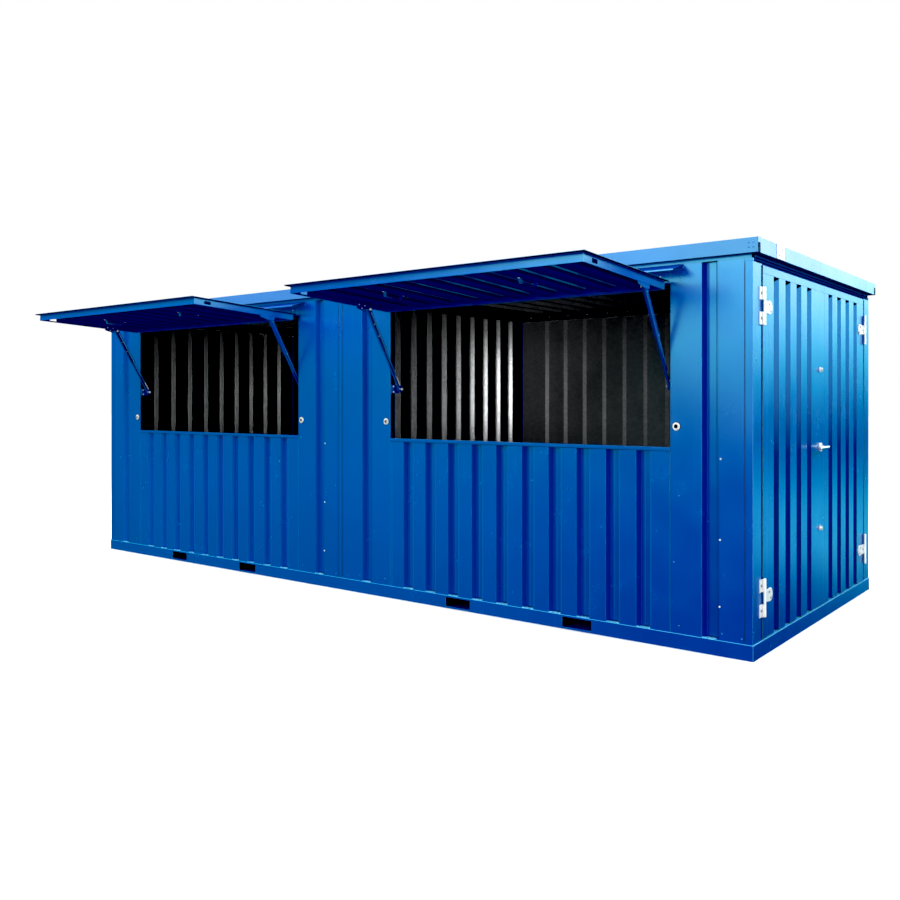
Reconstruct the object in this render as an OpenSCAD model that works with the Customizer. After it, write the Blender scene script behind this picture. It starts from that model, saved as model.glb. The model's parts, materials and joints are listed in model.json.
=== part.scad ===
/* [Overall] */
// Length of one module, two of which stand end to end
module_len = 3040; // [2400:10:3600]
// Width across the base frame
width = 2400; // [2200:10:2450]
// Height to the top of the roof frame
height = 2240; // [2150:5:2400]

/* [Base and floor] */
// Height of the base rails
rail_h = 85; // [75:1:110]
// Depth of the base rails
rail_d = 75; // [60:1:90]
// Thickness of the floor deck
deck_t = 18; // [12:1:25]
// Width of a forklift slot
fork_w = 200; // [160:5:220]
// Height of a forklift slot
fork_h = 62; // [50:1:66]
// Distance of the slots from the middle of a module
fork_off = 450; // [350:10:500]

/* [Sheet metal] */
// Thickness of the wall and roof sheets
sheet = 2; // [1:0.5:3]
// Depth of the ribs
rib_d = 35; // [25:1:36]
// Width of a groove at the face of the sheet
rib_w = 88; // [70:1:96]
// Run of one flank of a groove
rib_run = 17; // [12:1:24]
// Distance from one groove to the next
rib_pitch = 196.5; // [190:0.5:200]
// Distance from the base outline back to the sheets
inset = 4; // [3:1:8]

/* [Serving openings] */
// Distance of the opening's edge from the module's end
open_off = 470; // [450:5:500]
// Top of the sill
sill_z = 1120; // [1050:5:1200]
// Underside of the head over the opening
head_z = 2035; // [1980:5:2050]

/* [Hatches] */
// Angle by which a hatch stands open, from closed
hatch_open = 93; // [80:1:95]
// Depth of the hatch's rim
rim_d = 48; // [44:1:52]
// Distance of the stay's upper pin from the hatch hinge
stay_a = 235; // [220:5:240]
// Distance of the stay's upper pin below the hatch hinge plane
stay_b = 62; // [60:1:66]
// Height of the stay's lower pin
stay_z = 1465; // [1455:5:1475]

/* [Doors] */
// Width of the corner posts on the door end
post_w = 140; // [110:1:150]
// Gap between the posts and the leaves
door_gap = 14; // [8:1:18]
// Pitch of the grooves in the leaves
door_pitch = 200.5; // [195:0.5:202]

/* [Roof frame] */
// Height of the roof frame's outer face
fascia_h = 80; // [70:1:90]
// Overhang along the sides
over_side = 28; // [15:1:40]
// Overhang at the ends
over_end = 35; // [20:1:45]

/* [Hidden] */

eps = 0.01;
L = module_len;
hw = width / 2;
wall_y = hw - inset;          // outer face of the long walls
end_x = L - inset;            // outer face of the end walls
post_x = 43;                  // corner post along the length
recess_z = height - fascia_h - 40;   // underside of the roof frame
fascia_z = height - fascia_h;        // lower edge of the outer face
front_top = recess_z + 18;    // top of the front sheets
stud_w = 40;
stud_d = 45;
mods = [-L, 0];               // where each module starts
mid = L / 2;

// blue paint outside, galvanised steel, bright zinc
blue = [0.0, 0.35, 0.66];
deep = [0.0, 0.22, 0.52];
zinc = [0.86, 0.87, 0.88];
galv = [0.55, 0.57, 0.58];

// ---- ribbed sheet: profile in the plane, face at 0, grooves going to +y ----
k_rib = tan(atan(rib_d / rib_run) / 2);
function groove(c, o) = let (h = rib_w / 2) [
    [c - h - o * k_rib, o], [c - h + rib_run - o * k_rib, rib_d + o],
    [c + h - rib_run + o * k_rib, rib_d + o], [c + h + o * k_rib, o]];
function flat_list(l) = [for (a = l) for (b = a) b];
function rev(l) = [for (i = [len(l) - 1:-1:0]) l[i]];
function ribbed(s0, s1, cs, t) = concat(
    [[s0, 0]], flat_list([for (c = cs) groove(c, 0)]), [[s1, 0], [s1, t]],
    rev(flat_list([for (c = cs) groove(c, t)])), [[s0, t]]);
module rib_sheet(s0, s1, cs, h, t = sheet) {
    linear_extrude(height = h) polygon(ribbed(s0, s1, cs, t));
}
function row(c, n, p) = [for (i = [0:n - 1]) c + (i - (n - 1) / 2) * p];

module box(x0, x1, y0, y1, z0, z1) {
    translate([x0, y0, z0]) cube([x1 - x0, y1 - y0, z1 - z0]);
}
// upright rectangular tube
module tube_z(x0, x1, y0, y1, z0, z1, t) {
    translate([0, 0, z0]) linear_extrude(height = z1 - z0) difference() {
        translate([x0, y0]) square([x1 - x0, y1 - y0]);
        translate([x0 + t, y0 + t]) square([x1 - x0 - 2 * t, y1 - y0 - 2 * t]);
    }
}
// lying rectangular tube along x
module tube_x(x0, x1, y0, y1, z0, z1, t) {
    translate([x0, 0, 0]) rotate([90, 0, 90]) linear_extrude(height = x1 - x0) difference() {
        translate([y0, z0]) square([y1 - y0, z1 - z0]);
        translate([y0 + t, z0 + t]) square([y1 - y0 - 2 * t, z1 - z0 - 2 * t]);
    }
}
// lying rectangular tube along y
module tube_y(x0, x1, y0, y1, z0, z1, t) {
    translate([0, y1, 0]) rotate([90, 0, 0]) linear_extrude(height = y1 - y0) difference() {
        translate([x0, z0]) square([x1 - x0, z1 - z0]);
        translate([x0 + t, z0 + t]) square([x1 - x0 - 2 * t, z1 - z0 - 2 * t]);
    }
}
// extrude a (y, z) outline along x
module along_x(x0, x1, pts) {
    translate([x0, 0, 0]) rotate([90, 0, 90]) linear_extrude(height = x1 - x0) polygon(pts);
}
// extrude an (x, z) outline along y
module along_y(y0, y1, pts) {
    translate([0, y1, 0]) rotate([90, 0, 0]) linear_extrude(height = y1 - y0) polygon(pts);
}
module cyl_x(x0, x1, y, z, r) {
    translate([x0, y, z]) rotate([0, 90, 0]) cylinder(h = x1 - x0, r = r, $fn = 48);
}

// ---- base ----
fork_x = [for (m = mods) for (s = [-1, 1]) m + mid + s * fork_off];
module long_rail() {
    color(blue) difference() {
        along_x(-L + 3, L - 3, [[-hw, 0], [-hw + rail_d, 0], [-hw + rail_d, 3], [-hw + 3, 3],
            [-hw + 3, rail_h - 3], [-hw + rail_d, rail_h - 3], [-hw + rail_d, rail_h], [-hw, rail_h]]);
        for (x = fork_x) box(x - fork_w / 2, x + fork_w / 2, -hw - 1, -hw + 4, 11, 11 + fork_h);
    }
}
module base_front() { long_rail(); }
module base_back() { mirror([0, 1, 0]) long_rail(); }
module base_ends() {
    color(blue) for (s = [0, 1]) mirror([s, 0, 0]) union() {
        box(L - 3, L, -hw, hw, 0, rail_h);
        box(L - rail_d, L - 3 + eps, -hw + rail_d + 1, hw - rail_d - 1, 0, 3);
        box(L - rail_d, L - 3 + eps, -hw + rail_d + 1, hw - rail_d - 1, rail_h - 3, rail_h);
    }
}
module base_mid() {
    color(blue) tube_y(-40, 40, -hw + rail_d + 1, hw - rail_d - 1, 0, rail_h - deck_t, 4);
}
module floor_joists() {
    color(galv) for (x = [880, 1260, 1780, 2160]) for (s = [-1, 1])
        tube_y(s * x - 30, s * x + 30, -hw + 4, hw - 4, 5, rail_h - deck_t, 3);
}
module floor_deck() {
    color([0.35, 0.3, 0.26]) for (s = [0, 1]) mirror([s, 0, 0])
        box(1, L - rail_d - 1, -hw + rail_d + 1, hw - rail_d - 1, rail_h - deck_t, rail_h);
}

// ---- posts and studs ----
module corner_posts() {
    color(blue) for (sx = [0, 1]) for (sy = [0, 1]) mirror([sx, 0, 0]) mirror([0, sy, 0])
        tube_z(end_x - post_x, end_x, -wall_y, -wall_y + post_w, rail_h, recess_z, 3);
}
module mid_posts() {
    color(blue) for (sy = [0, 1]) mirror([0, sy, 0])
        tube_z(-post_x, 0, -wall_y, -wall_y + stud_d, rail_h, recess_z, 3);
}
module front_studs() {
    color(blue) for (m = mods) for (x = [m + open_off - stud_w, m + L - open_off])
        tube_z(x, x + stud_w, -wall_y + sheet, -wall_y + stud_d + sheet, rail_h, recess_z, 3);
}

// ---- front wall ----
module front_sheet(x0, x1, cs, z0, z1) {
    color(blue) translate([0, -wall_y, z0]) rib_sheet(x0, x1, cs, z1 - z0);
}
side_c = [-L + mid - 6.5 * rib_pitch, -mid + 6.5 * rib_pitch, mid - 6.5 * rib_pitch, mid + 6.5 * rib_pitch];
module side_sheet(x0, x1, c) {
    // the groove runs on up in front of the roof frame
    front_sheet(x0, x1, [c], rail_h, front_top);
}
module front_side_panels() {
    side_sheet(-end_x + post_x + 1, -L + open_off, side_c[0]);
    side_sheet(-open_off, -post_x - 1, side_c[1]);
    side_sheet(1, open_off, side_c[2]);
    side_sheet(L - open_off, end_x - post_x - 1, side_c[3]);
}
module lower_panel(m) {
    front_sheet(m + open_off + 2, m + L - open_off - 2, row(m + mid, 10, rib_pitch), rail_h, sill_z - 6);
}
module front_lower_left() { lower_panel(mods[0]); }
module front_lower_right() { lower_panel(mods[1]); }
module front_headers() {
    color(blue) for (m = mods) union() {
        tube_x(m + open_off, m + L - open_off, -wall_y, -wall_y + stud_d + sheet, head_z, recess_z, 3);
        box(m + open_off, m + L - open_off, -wall_y, -wall_y + 3, recess_z - 3, front_top);
    }
}
module sill_caps() {
    y0 = -wall_y - 5; y1 = -wall_y + stud_d + 5;
    color(blue) for (m = mods) along_x(m + open_off + 1, m + L - open_off - 1,
        [[y0, sill_z - 20], [y0 + 3, sill_z - 20], [y0 + 3, sill_z - 3], [y1 - 3, sill_z - 3],
         [y1 - 3, sill_z - 30], [y1, sill_z - 30], [y1, sill_z], [y0, sill_z]]);
}

// ---- plain walls ----
module back_wall() {
    color(blue) for (r = [[-end_x + post_x + 1, -post_x - 1, -mid], [1, end_x - post_x - 1, mid]])
        mirror([0, 1, 0]) translate([0, -wall_y, rail_h]) rib_sheet(r[0], r[1], row(r[2], 14, rib_pitch), recess_z - rail_h);
}
module left_wall() {
    y = wall_y - post_w - 1;
    color(blue) translate([-end_x, 0, rail_h]) rotate([0, 0, -90])
        rib_sheet(-y, y, row(0, 10, rib_pitch), recess_z - rail_h);
}
module partition() {
    y = wall_y - stud_d - 1;
    color(galv) translate([-4, 0, rail_h]) rotate([0, 0, 90])
        rib_sheet(-y, y, row(0, 11, rib_pitch), recess_z - rail_h);
}

// ---- roof ----
fy = hw + over_side;          // outer face of the side fascia
fx = L + over_end;            // outer face of the end fascia
band_y = wall_y - 11;
band_x = end_x - 11;
module roof_side() {
    color(blue) union() {
        along_x(-fx + 3, fx - 3, [[-fy, fascia_z], [-band_y + 3, fascia_z], [-band_y + 3, fascia_z + 3],
            [-fy + 3, fascia_z + 3], [-fy + 3, height - 3], [-fy + 53, height - 3], [-fy + 53, height], [-fy, height]]);
        along_x(-band_x, band_x, [[-band_y, recess_z], [-band_y + 70, recess_z], [-band_y + 70, recess_z + 58],
            [-band_y + 67, recess_z + 58], [-band_y + 67, recess_z + 3], [-band_y + 3, recess_z + 3],
            [-band_y + 3, fascia_z + 1], [-band_y, fascia_z + 1]]);
        for (x = [end_x - post_x, -end_x, -post_x]) box(x, x + post_x, -wall_y, -band_y + 1, recess_z, front_top);
    }
}
module roof_front() {
    // the band is notched where the grooves of the side panels run up in front of it
    color(blue) difference() {
        roof_side();
        for (c = side_c)
            box(c - rib_w / 2 - 3, c + rib_w / 2 + 3, -wall_y - 1, -wall_y + rib_d + sheet + 2, recess_z - 1, front_top + 2);
    }
}
module roof_back() { mirror([0, 1, 0]) roof_side(); }
module roof_ends() {
    yi = band_y - 71;
    color(blue) for (s = [0, 1]) mirror([s, 0, 0]) union() {
        // outer face, slotted at both corners
        difference() {
            box(fx - 3, fx, -fy, fy, fascia_z, height);
            for (t = [0, 1]) mirror([0, t, 0]) box(fx - 4, fx + 1, -fy + 5, -fy + 28, fascia_z + 4, fascia_z + 46);
        }
        // lower flange
        box(band_x + 1, fx - 2, -band_y + 4, band_y - 4, fascia_z, fascia_z + 3);
        box(band_x - 3, band_x + 2, -yi, yi, fascia_z, fascia_z + 3);
        // upper flange
        box(fx - 53, fx - 2, -fy + 54, fy - 54, height - 3, height);
        // stepped band over the doors
        along_y(-yi, yi, [[band_x - 67, recess_z], [band_x - 14, recess_z], [band_x - 14, recess_z + 14],
            [band_x - 7, recess_z + 14], [band_x - 7, recess_z + 27], [band_x, recess_z + 27],
            [band_x, fascia_z + 1], [band_x - 3, fascia_z + 1], [band_x - 3, recess_z + 30],
            [band_x - 10, recess_z + 30], [band_x - 10, recess_z + 17], [band_x - 17, recess_z + 17],
            [band_x - 17, recess_z + 3], [band_x - 64, recess_z + 3], [band_x - 64, recess_z + 58],
            [band_x - 67, recess_z + 58]]);
    }
}
module roof_beam() {
    color(blue) tube_y(-40, 40, -band_y + 71, band_y - 71, recess_z, recess_z + 58, 3);
}
module roof_sheets() {
    y = fy - 56;
    // ribs run across the width, grooves hang down
    color(galv) for (r = [[-fx + 56, -1, -mid], [1, fx - 56, mid]])
        translate([0, y, height - 21]) rotate([90, 0, 0]) mirror([0, 1, 0])
            rib_sheet(r[0], r[1], row(r[2], 14, rib_pitch), 2 * y);
}
module roof_joint_plates() {
    color(zinc) for (sx = [0, 1]) mirror([sx, 0, 0])
        box(fx, fx + 2, -hw + 265, -hw + 390, fascia_z + 2, height - 1);
}

module rain_flaps() {
    // sloping strip over each opening, with a drip edge
    y = wall_y;
    color(blue) for (m = mods) along_x(m + open_off - 78, m + L - open_off + 78,
        [[-y, recess_z - 8], [-y, recess_z + 20], [-y - 140, recess_z - 22], [-y - 141, recess_z - 30],
         [-y - 138.5, recess_z - 30], [-y - 137.8, recess_z - 23.8], [-y - 2.5, recess_z + 16.8], [-y - 2.5, recess_z - 8]]);
}

// ---- door end, fixed pieces ----
leaf_y = wall_y - post_w - door_gap;      // hinge edge of the leaves
pin_y = wall_y - post_w - door_gap / 2;   // hinge axis
pin_x = end_x + 12;
hinge_z = [316, 1893];
module door_head() {
    y = wall_y - post_w - 1;
    color(blue) tube_y(end_x - 90, end_x - 45, -y, y, recess_z - 50, recess_z, 3);
}
module post_leaf(z0, z1) {
    // plate on the post, tongue and knuckle
    union() {
        box(end_x, end_x + 4, -wall_y + post_w - 46, -wall_y + post_w - 4, z0, z1);
        box(end_x + 1, pin_x - 2, -wall_y + post_w - 14, -wall_y + post_w - 8, z0, z1);
        box(pin_x - 4, pin_x, -wall_y + post_w - 14, -pin_y, z0, z1);
        translate([pin_x, -pin_y, z0]) cylinder(h = z1 - z0, r = 8, $fn = 48);
    }
}
module door_hinge_posts() {
    color(zinc) for (sy = [0, 1]) mirror([0, sy, 0]) for (z = hinge_z) {
        post_leaf(z - 102, z - 33);
        post_leaf(z + 33, z + 102);
    }
}

// ---- hatch hinge, locks and stay pivots on the fixed wall ----
hy = -wall_y - 16;            // hatch hinge axis
hz = head_z + 17;
knuckles = [for (i = [0:5]) 80 + i * 388];
module hatch_hinges() {
    color(deep) for (m = mods) union() {
        box(m + open_off + 20, m + L - open_off - 20, -wall_y - 3, -wall_y, hz + 4, hz + 34);
        for (k = knuckles) {
            x = m + open_off + k;
            box(x - 30, x + 30, hy - 1, -wall_y - 2, hz + 3.5, hz + 7);
            cyl_x(x - 30, x + 30, hy, hz, 5);
        }
    }
}
lock_z = sill_z + 118;
module hatch_locks() {
    color(zinc) for (m = mods) for (x = [m + open_off - 36, m + L - open_off + 36])
        translate([x, -wall_y, lock_z]) rotate([90, 0, 0]) difference() {
            union() {
                cylinder(h = 4, r = 22, $fn = 64);
                cylinder(h = 8, r = 15, $fn = 64);
            }
            translate([-2, -7, 5]) cube([4, 14, 4]);
        }
}

// stay geometry, in the plane across the wall
qy = -wall_y + 71;
qz = stay_z;
py_o = hy - stay_a * sin(hatch_open) + stay_b * cos(hatch_open);
pz_o = hz - stay_a * cos(hatch_open) - stay_b * sin(hatch_open);
stay_x = [for (m = mods) for (x = [m + open_off + 33, m + L - open_off - 33]) x];
stay_s = [1, -1, 1, -1];      // towards the nearer jamb is -s
stay_ang = atan2(qy - py_o, pz_o - qz);   // lean of the stay from upright
len_o = sqrt(pow(qy - py_o, 2) + pow(pz_o - qz, 2));
module stay_pivots() {
    color(deep) for (i = [0:3]) translate([stay_x[i], 0, 0]) mirror([stay_s[i] > 0 ? 1 : 0, 0, 0]) union() {
        // plate fixed to the jamb face, pin towards the opening
        along_y(-wall_y + 14, qy + 16, [[27, qz - 30], [33, qz - 30], [33, qz + 30], [27, qz + 30]]);
        cyl_x(-12, 28, qy, qz, 6);
        cyl_x(-12, -9, qy, qz, 9);
    }
}

// ---- hatches, drawn closed and swung open about the hinge ----
module swung() {
    translate([0, hy, hz]) rotate([-hatch_open, 0, 0]) translate([0, -hy, -hz]) children();
}
sk_y = -wall_y - 12;          // outer face of the closed hatch
function rim(m) = [m + open_off + 15, m + L - open_off - 15, sill_z + 6, head_z - 6];
module hatch_skin(m) {
    r = rim(m);
    color(blue) swung() translate([0, sk_y, r[2] + 3])
        rib_sheet(r[0] + 3, r[1] - 3, row(m + mid, 10, rib_pitch), r[3] - r[2] - 6);
}
module hatch_frame(m) {
    r = rim(m);
    color(deep) swung() difference() {
        union() {
            // flat flange that laps the wall
            box(m + open_off - 8, m + L - open_off + 8, sk_y, sk_y + 2, sill_z - 28, hz - 6);
            // rim that enters the opening
            box(r[0], r[1], sk_y + 1, sk_y + 2 + rim_d, r[2], r[3]);
        }
        box(r[0] + 3, r[1] - 3, sk_y - 1, sk_y + 3 + rim_d, r[2] + 3, r[3] - 3);
        // lock slots in the side rims
        for (x = [r[0] - 1, r[1] - 4]) box(x, x + 5, sk_y + 18, sk_y + 40, lock_z - 28, lock_z + 28);
    }
}
module hatch_fittings(m) {
    r = rim(m);
    color(deep) swung() {
        // moving knuckles between the fixed ones, on a common leaf
        for (i = [0:4]) {
            x = m + open_off + knuckles[i] + 194;
            union() {
                cyl_x(x - 160, x + 160, hy, hz, 5);
                box(x - 160, x + 160, hy - 1, sk_y, hz - 24, hz - 2);
            }
        }
        // stay plates on the side rims, drawn out towards the outer edge
        for (x = [r[0] + 3, r[1] - 7]) along_x(x, x + 4, [
            [hy + 26, hz - stay_a + 32], [hy + stay_b + 10, hz - stay_a + 32], [hy + stay_b + 18, hz - stay_a + 18],
            [hy + stay_b + 18, hz - stay_a - 30], [hy + stay_b + 4, hz - stay_a - 105], [hy + 26, hz - stay_a - 105]]);
        // bow handles on the ribs
        for (x = [m + mid - 2.5 * rib_pitch, m + mid + 2.5 * rib_pitch]) bow_handle(x, sk_y + rib_d + sheet);
    }
}
module bow_handle(x, y) {
    // strap bent into a bow, feet turned outwards
    along_x(x - 11, x + 11, [[y, hz - 475], [y, hz - 504], [y + 28, hz - 512], [y + 28, hz - 648],
        [y, hz - 656], [y, hz - 685], [y + 4, hz - 685], [y + 4, hz - 659], [y + 32, hz - 651],
        [y + 32, hz - 509], [y + 4, hz - 501], [y + 4, hz - 475]]);
}
module hatch_left_skin() { hatch_skin(mods[0]); }
module hatch_left_frame() { hatch_frame(mods[0]); }
module hatch_left_fittings() { hatch_fittings(mods[0]); }
module hatch_right_skin() { hatch_skin(mods[1]); }
module hatch_right_frame() { hatch_frame(mods[1]); }
module hatch_right_fittings() { hatch_fittings(mods[1]); }

// ---- stays: local frame has z from the lower pin to the upper pin ----
rod_len = 320;
tube_len = 312;
bar_v = 11;                   // the bar runs on the outer side, the gas spring on the inner
module at_lower(i) {
    translate([stay_x[i], qy, qz]) rotate([stay_ang, 0, 0]) children();
}
module stay_rod(i) {
    color(galv) at_lower(i) difference() {
        union() {
            // end plate with the eye
            translate([-8, -19, -16]) cube([16, 38, 42]);
            // inner bar
            translate([-5.5, -bar_v - 6.5, 20]) cube([11, 13, rod_len - 20]);
            // gas spring rod
            translate([0, bar_v - 1, 20]) cylinder(h = rod_len - 20, r = 4, $fn = 32);
        }
        translate([-9, 0, 0]) rotate([0, 90, 0]) cylinder(h = 18, r = 6.06, $fn = 48);
    }
}
module stay_tube(i) {
    color(deep) at_lower(i) translate([0, 0, len_o]) union() {
        difference() {
            union() {
                translate([-8, -20, -26]) cube([16, 39, 38]);
                translate([-8, -bar_v - 9, -tube_len]) cube([16, 18, tube_len - 20]);
                translate([0, bar_v - 1, -tube_len]) cylinder(h = tube_len - 20, r = 8, $fn = 48);
            }
            translate([-6, -bar_v - 7, -tube_len - 1]) cube([12, 14, tube_len - 28]);
            translate([0, bar_v - 1, -tube_len - 1]) cylinder(h = tube_len - 28, r = 6.5, $fn = 48);
        }
        // upper pin and its knob
        rotate([0, 90, 0]) translate([0, 0, stay_s[i] > 0 ? -10.5 : 7]) cylinder(h = 3.5, r = 5, $fn = 32);
        rotate([0, 90, 0]) translate([0, 0, stay_s[i] > 0 ? 7 : -15]) cylinder(h = 8, r = 8, $fn = 32);
    }
}
module stay_1_rod() { stay_rod(0); }
module stay_1_tube() { stay_tube(0); }
module stay_2_rod() { stay_rod(1); }
module stay_2_tube() { stay_tube(1); }
module stay_3_rod() { stay_rod(2); }
module stay_3_tube() { stay_tube(2); }
module stay_4_rod() { stay_rod(3); }
module stay_4_tube() { stay_tube(3); }

// ---- doors ----
door_z0 = rail_h + 7;
door_z1 = recess_z - 5;
band_h = 43;                  // flat band along the top of a leaf
door_c = [for (i = [0:3]) 225 + i * door_pitch];
lap_y = 92;                   // edge of the near leaf's lap over the far leaf
seam_y = 5;
module door_sheet(y0, y1, cs) {
    // face towards +x, grooves going to -x
    color(blue) translate([end_x, 0, door_z0]) rotate([0, 0, 90]) rib_sheet(y0, y1, cs, door_z1 - band_h - door_z0);
}
module door_near_skin() {
    door_sheet(-leaf_y, lap_y, [for (i = [3:-1:0]) -door_c[i]]);
}
module door_far_skin() {
    door_sheet(lap_y + 2, leaf_y, door_c);
}
xf0 = end_x - 38;
module door_near_frame() {
    zt = door_z1 - band_h;
    color(blue) union() {
        tube_z(xf0, end_x - sheet, -leaf_y, -leaf_y + 40, door_z0, zt + 1, 3);
        tube_z(xf0, end_x - sheet, seam_y - 42, seam_y - 2, door_z0, zt + 1, 3);
        // top band, flat on the face, with the lap
        tube_y(xf0, end_x, -leaf_y, seam_y - 2, zt, door_z1, 3);
        box(end_x - sheet, end_x, seam_y - 4, lap_y, zt, door_z1);
    }
}
module door_far_frame() {
    zt = door_z1 - band_h;
    color(blue) union() {
        tube_z(xf0, end_x - sheet, leaf_y - 40, leaf_y, door_z0, zt + 1, 3);
        // meeting stile, set back behind the lap
        tube_z(xf0, end_x - 8, seam_y + 5, seam_y + 45, door_z0, zt + 1, 3);
        tube_z(xf0, end_x - sheet, lap_y + 2, lap_y + 42, door_z0, zt + 1, 3);
        box(xf0, xf0 + 3, seam_y + 44, lap_y + 4, door_z0, door_z1);
        tube_y(xf0, end_x, lap_y + 2, leaf_y, zt, door_z1, 3);
        tube_y(xf0, end_x - 8, seam_y + 5, lap_y + 4, zt, door_z1, 3);
    }
}
module leaf_plate(z) {
    // knuckle, tongue and strap with a rounded end
    union() {
        translate([pin_x, -pin_y, z - 32]) cylinder(h = 64, r = 8, $fn = 48);
        box(pin_x - 4, pin_x, -pin_y, -leaf_y + 12, z - 32, z + 32);
        box(end_x + 1, pin_x - 2, -leaf_y + 6, -leaf_y + 12, z - 32, z + 32);
        translate([end_x, 0, 0]) rotate([90, 0, 90]) linear_extrude(height = 4) union() {
            translate([-leaf_y + 3, z - 32]) square([38, 64]);
            hull() {
                translate([-leaf_y + 40, z - 32]) square([1, 64]);
                translate([-leaf_y + 104, z]) circle(r = 37, $fn = 48);
            }
        }
    }
}
handle_y = -8;
handle_z = 1090;
knob_z = [580, 1578];
module door_near_fittings() {
    color(zinc) {
        for (z = hinge_z) leaf_plate(z);
        // rose of the lever and the two locking knobs
        difference() {
            cyl_x(end_x, end_x + 10, handle_y, handle_z, 27);
            cyl_x(end_x - 1, end_x + 11, handle_y, handle_z, 8.06);
        }
        for (z = knob_z) union() {
            cyl_x(end_x, end_x + 5, handle_y, z, 17);
            cyl_x(end_x + 4, end_x + 16, handle_y, z, 11);
        }
    }
}
module door_far_fittings() {
    color(zinc) mirror([0, 1, 0]) for (z = hinge_z) leaf_plate(z);
}
module door_handle() {
    color(zinc) union() {
        cyl_x(end_x + 1, end_x + 52, handle_y, handle_z, 8);
        cyl_x(end_x + 11, end_x + 24, handle_y, handle_z, 11);
        translate([end_x + 48, handle_y + 10, handle_z]) rotate([90, 0, 0]) cylinder(h = 150, r = 10, $fn = 48);
        translate([end_x + 48, handle_y + 10, handle_z]) sphere(r = 10, $fn = 48);
        translate([end_x + 48, handle_y - 140, handle_z]) sphere(r = 10, $fn = 48);
    }
}

base_front();
base_back();
base_ends();
base_mid();
floor_joists();
floor_deck();
corner_posts();
mid_posts();
front_studs();
front_side_panels();
front_lower_left();
front_lower_right();
front_headers();
sill_caps();
back_wall();
left_wall();
partition();
roof_front();
roof_back();
roof_ends();
roof_beam();
roof_sheets();
roof_joint_plates();
rain_flaps();
door_head();
door_hinge_posts();
hatch_hinges();
hatch_locks();
stay_pivots();
hatch_left_skin();
hatch_left_frame();
hatch_left_fittings();
hatch_right_skin();
hatch_right_frame();
hatch_right_fittings();
stay_1_rod();
stay_1_tube();
stay_2_rod();
stay_2_tube();
stay_3_rod();
stay_3_tube();
stay_4_rod();
stay_4_tube();
door_near_skin();
door_near_frame();
door_near_fittings();
door_far_skin();
door_far_frame();
door_far_fittings();
door_handle();
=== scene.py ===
import json
import math
import random

import bmesh
import bpy
from mathutils import Matrix, Vector

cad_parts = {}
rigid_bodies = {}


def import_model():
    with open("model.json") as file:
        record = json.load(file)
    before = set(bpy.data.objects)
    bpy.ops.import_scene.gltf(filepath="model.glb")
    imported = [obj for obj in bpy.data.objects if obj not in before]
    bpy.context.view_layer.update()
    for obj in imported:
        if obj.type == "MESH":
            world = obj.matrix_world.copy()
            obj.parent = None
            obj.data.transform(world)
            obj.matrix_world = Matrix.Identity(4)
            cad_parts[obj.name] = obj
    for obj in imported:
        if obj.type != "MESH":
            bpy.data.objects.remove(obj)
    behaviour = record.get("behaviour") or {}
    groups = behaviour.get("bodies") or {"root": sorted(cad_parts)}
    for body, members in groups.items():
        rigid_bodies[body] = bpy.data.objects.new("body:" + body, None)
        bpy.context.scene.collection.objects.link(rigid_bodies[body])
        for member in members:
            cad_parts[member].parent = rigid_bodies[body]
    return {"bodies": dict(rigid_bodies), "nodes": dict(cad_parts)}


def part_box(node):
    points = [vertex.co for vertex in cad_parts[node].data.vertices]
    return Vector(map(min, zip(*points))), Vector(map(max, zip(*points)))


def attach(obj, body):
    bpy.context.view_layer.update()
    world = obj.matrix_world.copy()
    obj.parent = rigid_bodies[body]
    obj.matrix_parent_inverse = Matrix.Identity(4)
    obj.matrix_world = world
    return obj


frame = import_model()
nodes, bodies = frame["nodes"], frame["bodies"]
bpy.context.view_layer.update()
scene = bpy.context.scene
random.seed(7)

# ------------------------------------------------------------------ camera
F_PX, HORIZON, MIDDLE = 911.3, 402.6, 450.0
cam = bpy.data.objects.new("camera", bpy.data.cameras.new("camera"))
scene.collection.objects.link(cam)
cam.data.sensor_width = 36.0
cam.data.lens = F_PX / 900 * 36
cam.data.shift_x = (450 - MIDDLE) / 900
cam.data.shift_y = (HORIZON - 450) / 900
cam.data.clip_start, cam.data.clip_end = 0.05, 400
cam.location = (4.7448, -5.9723, 1.3704)
cam.rotation_euler = (math.radians(90), 0, 0.6645)
scene.camera = cam

# ------------------------------------------------------------------ where things are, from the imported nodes
base_lo, base_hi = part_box("base_ends")
HALF_W = base_hi.y
HALF_L = base_hi.x
wall_lo, wall_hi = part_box("front_side_panels")
WALL_Y = -wall_lo.y
mid_front = WALL_Y


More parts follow.
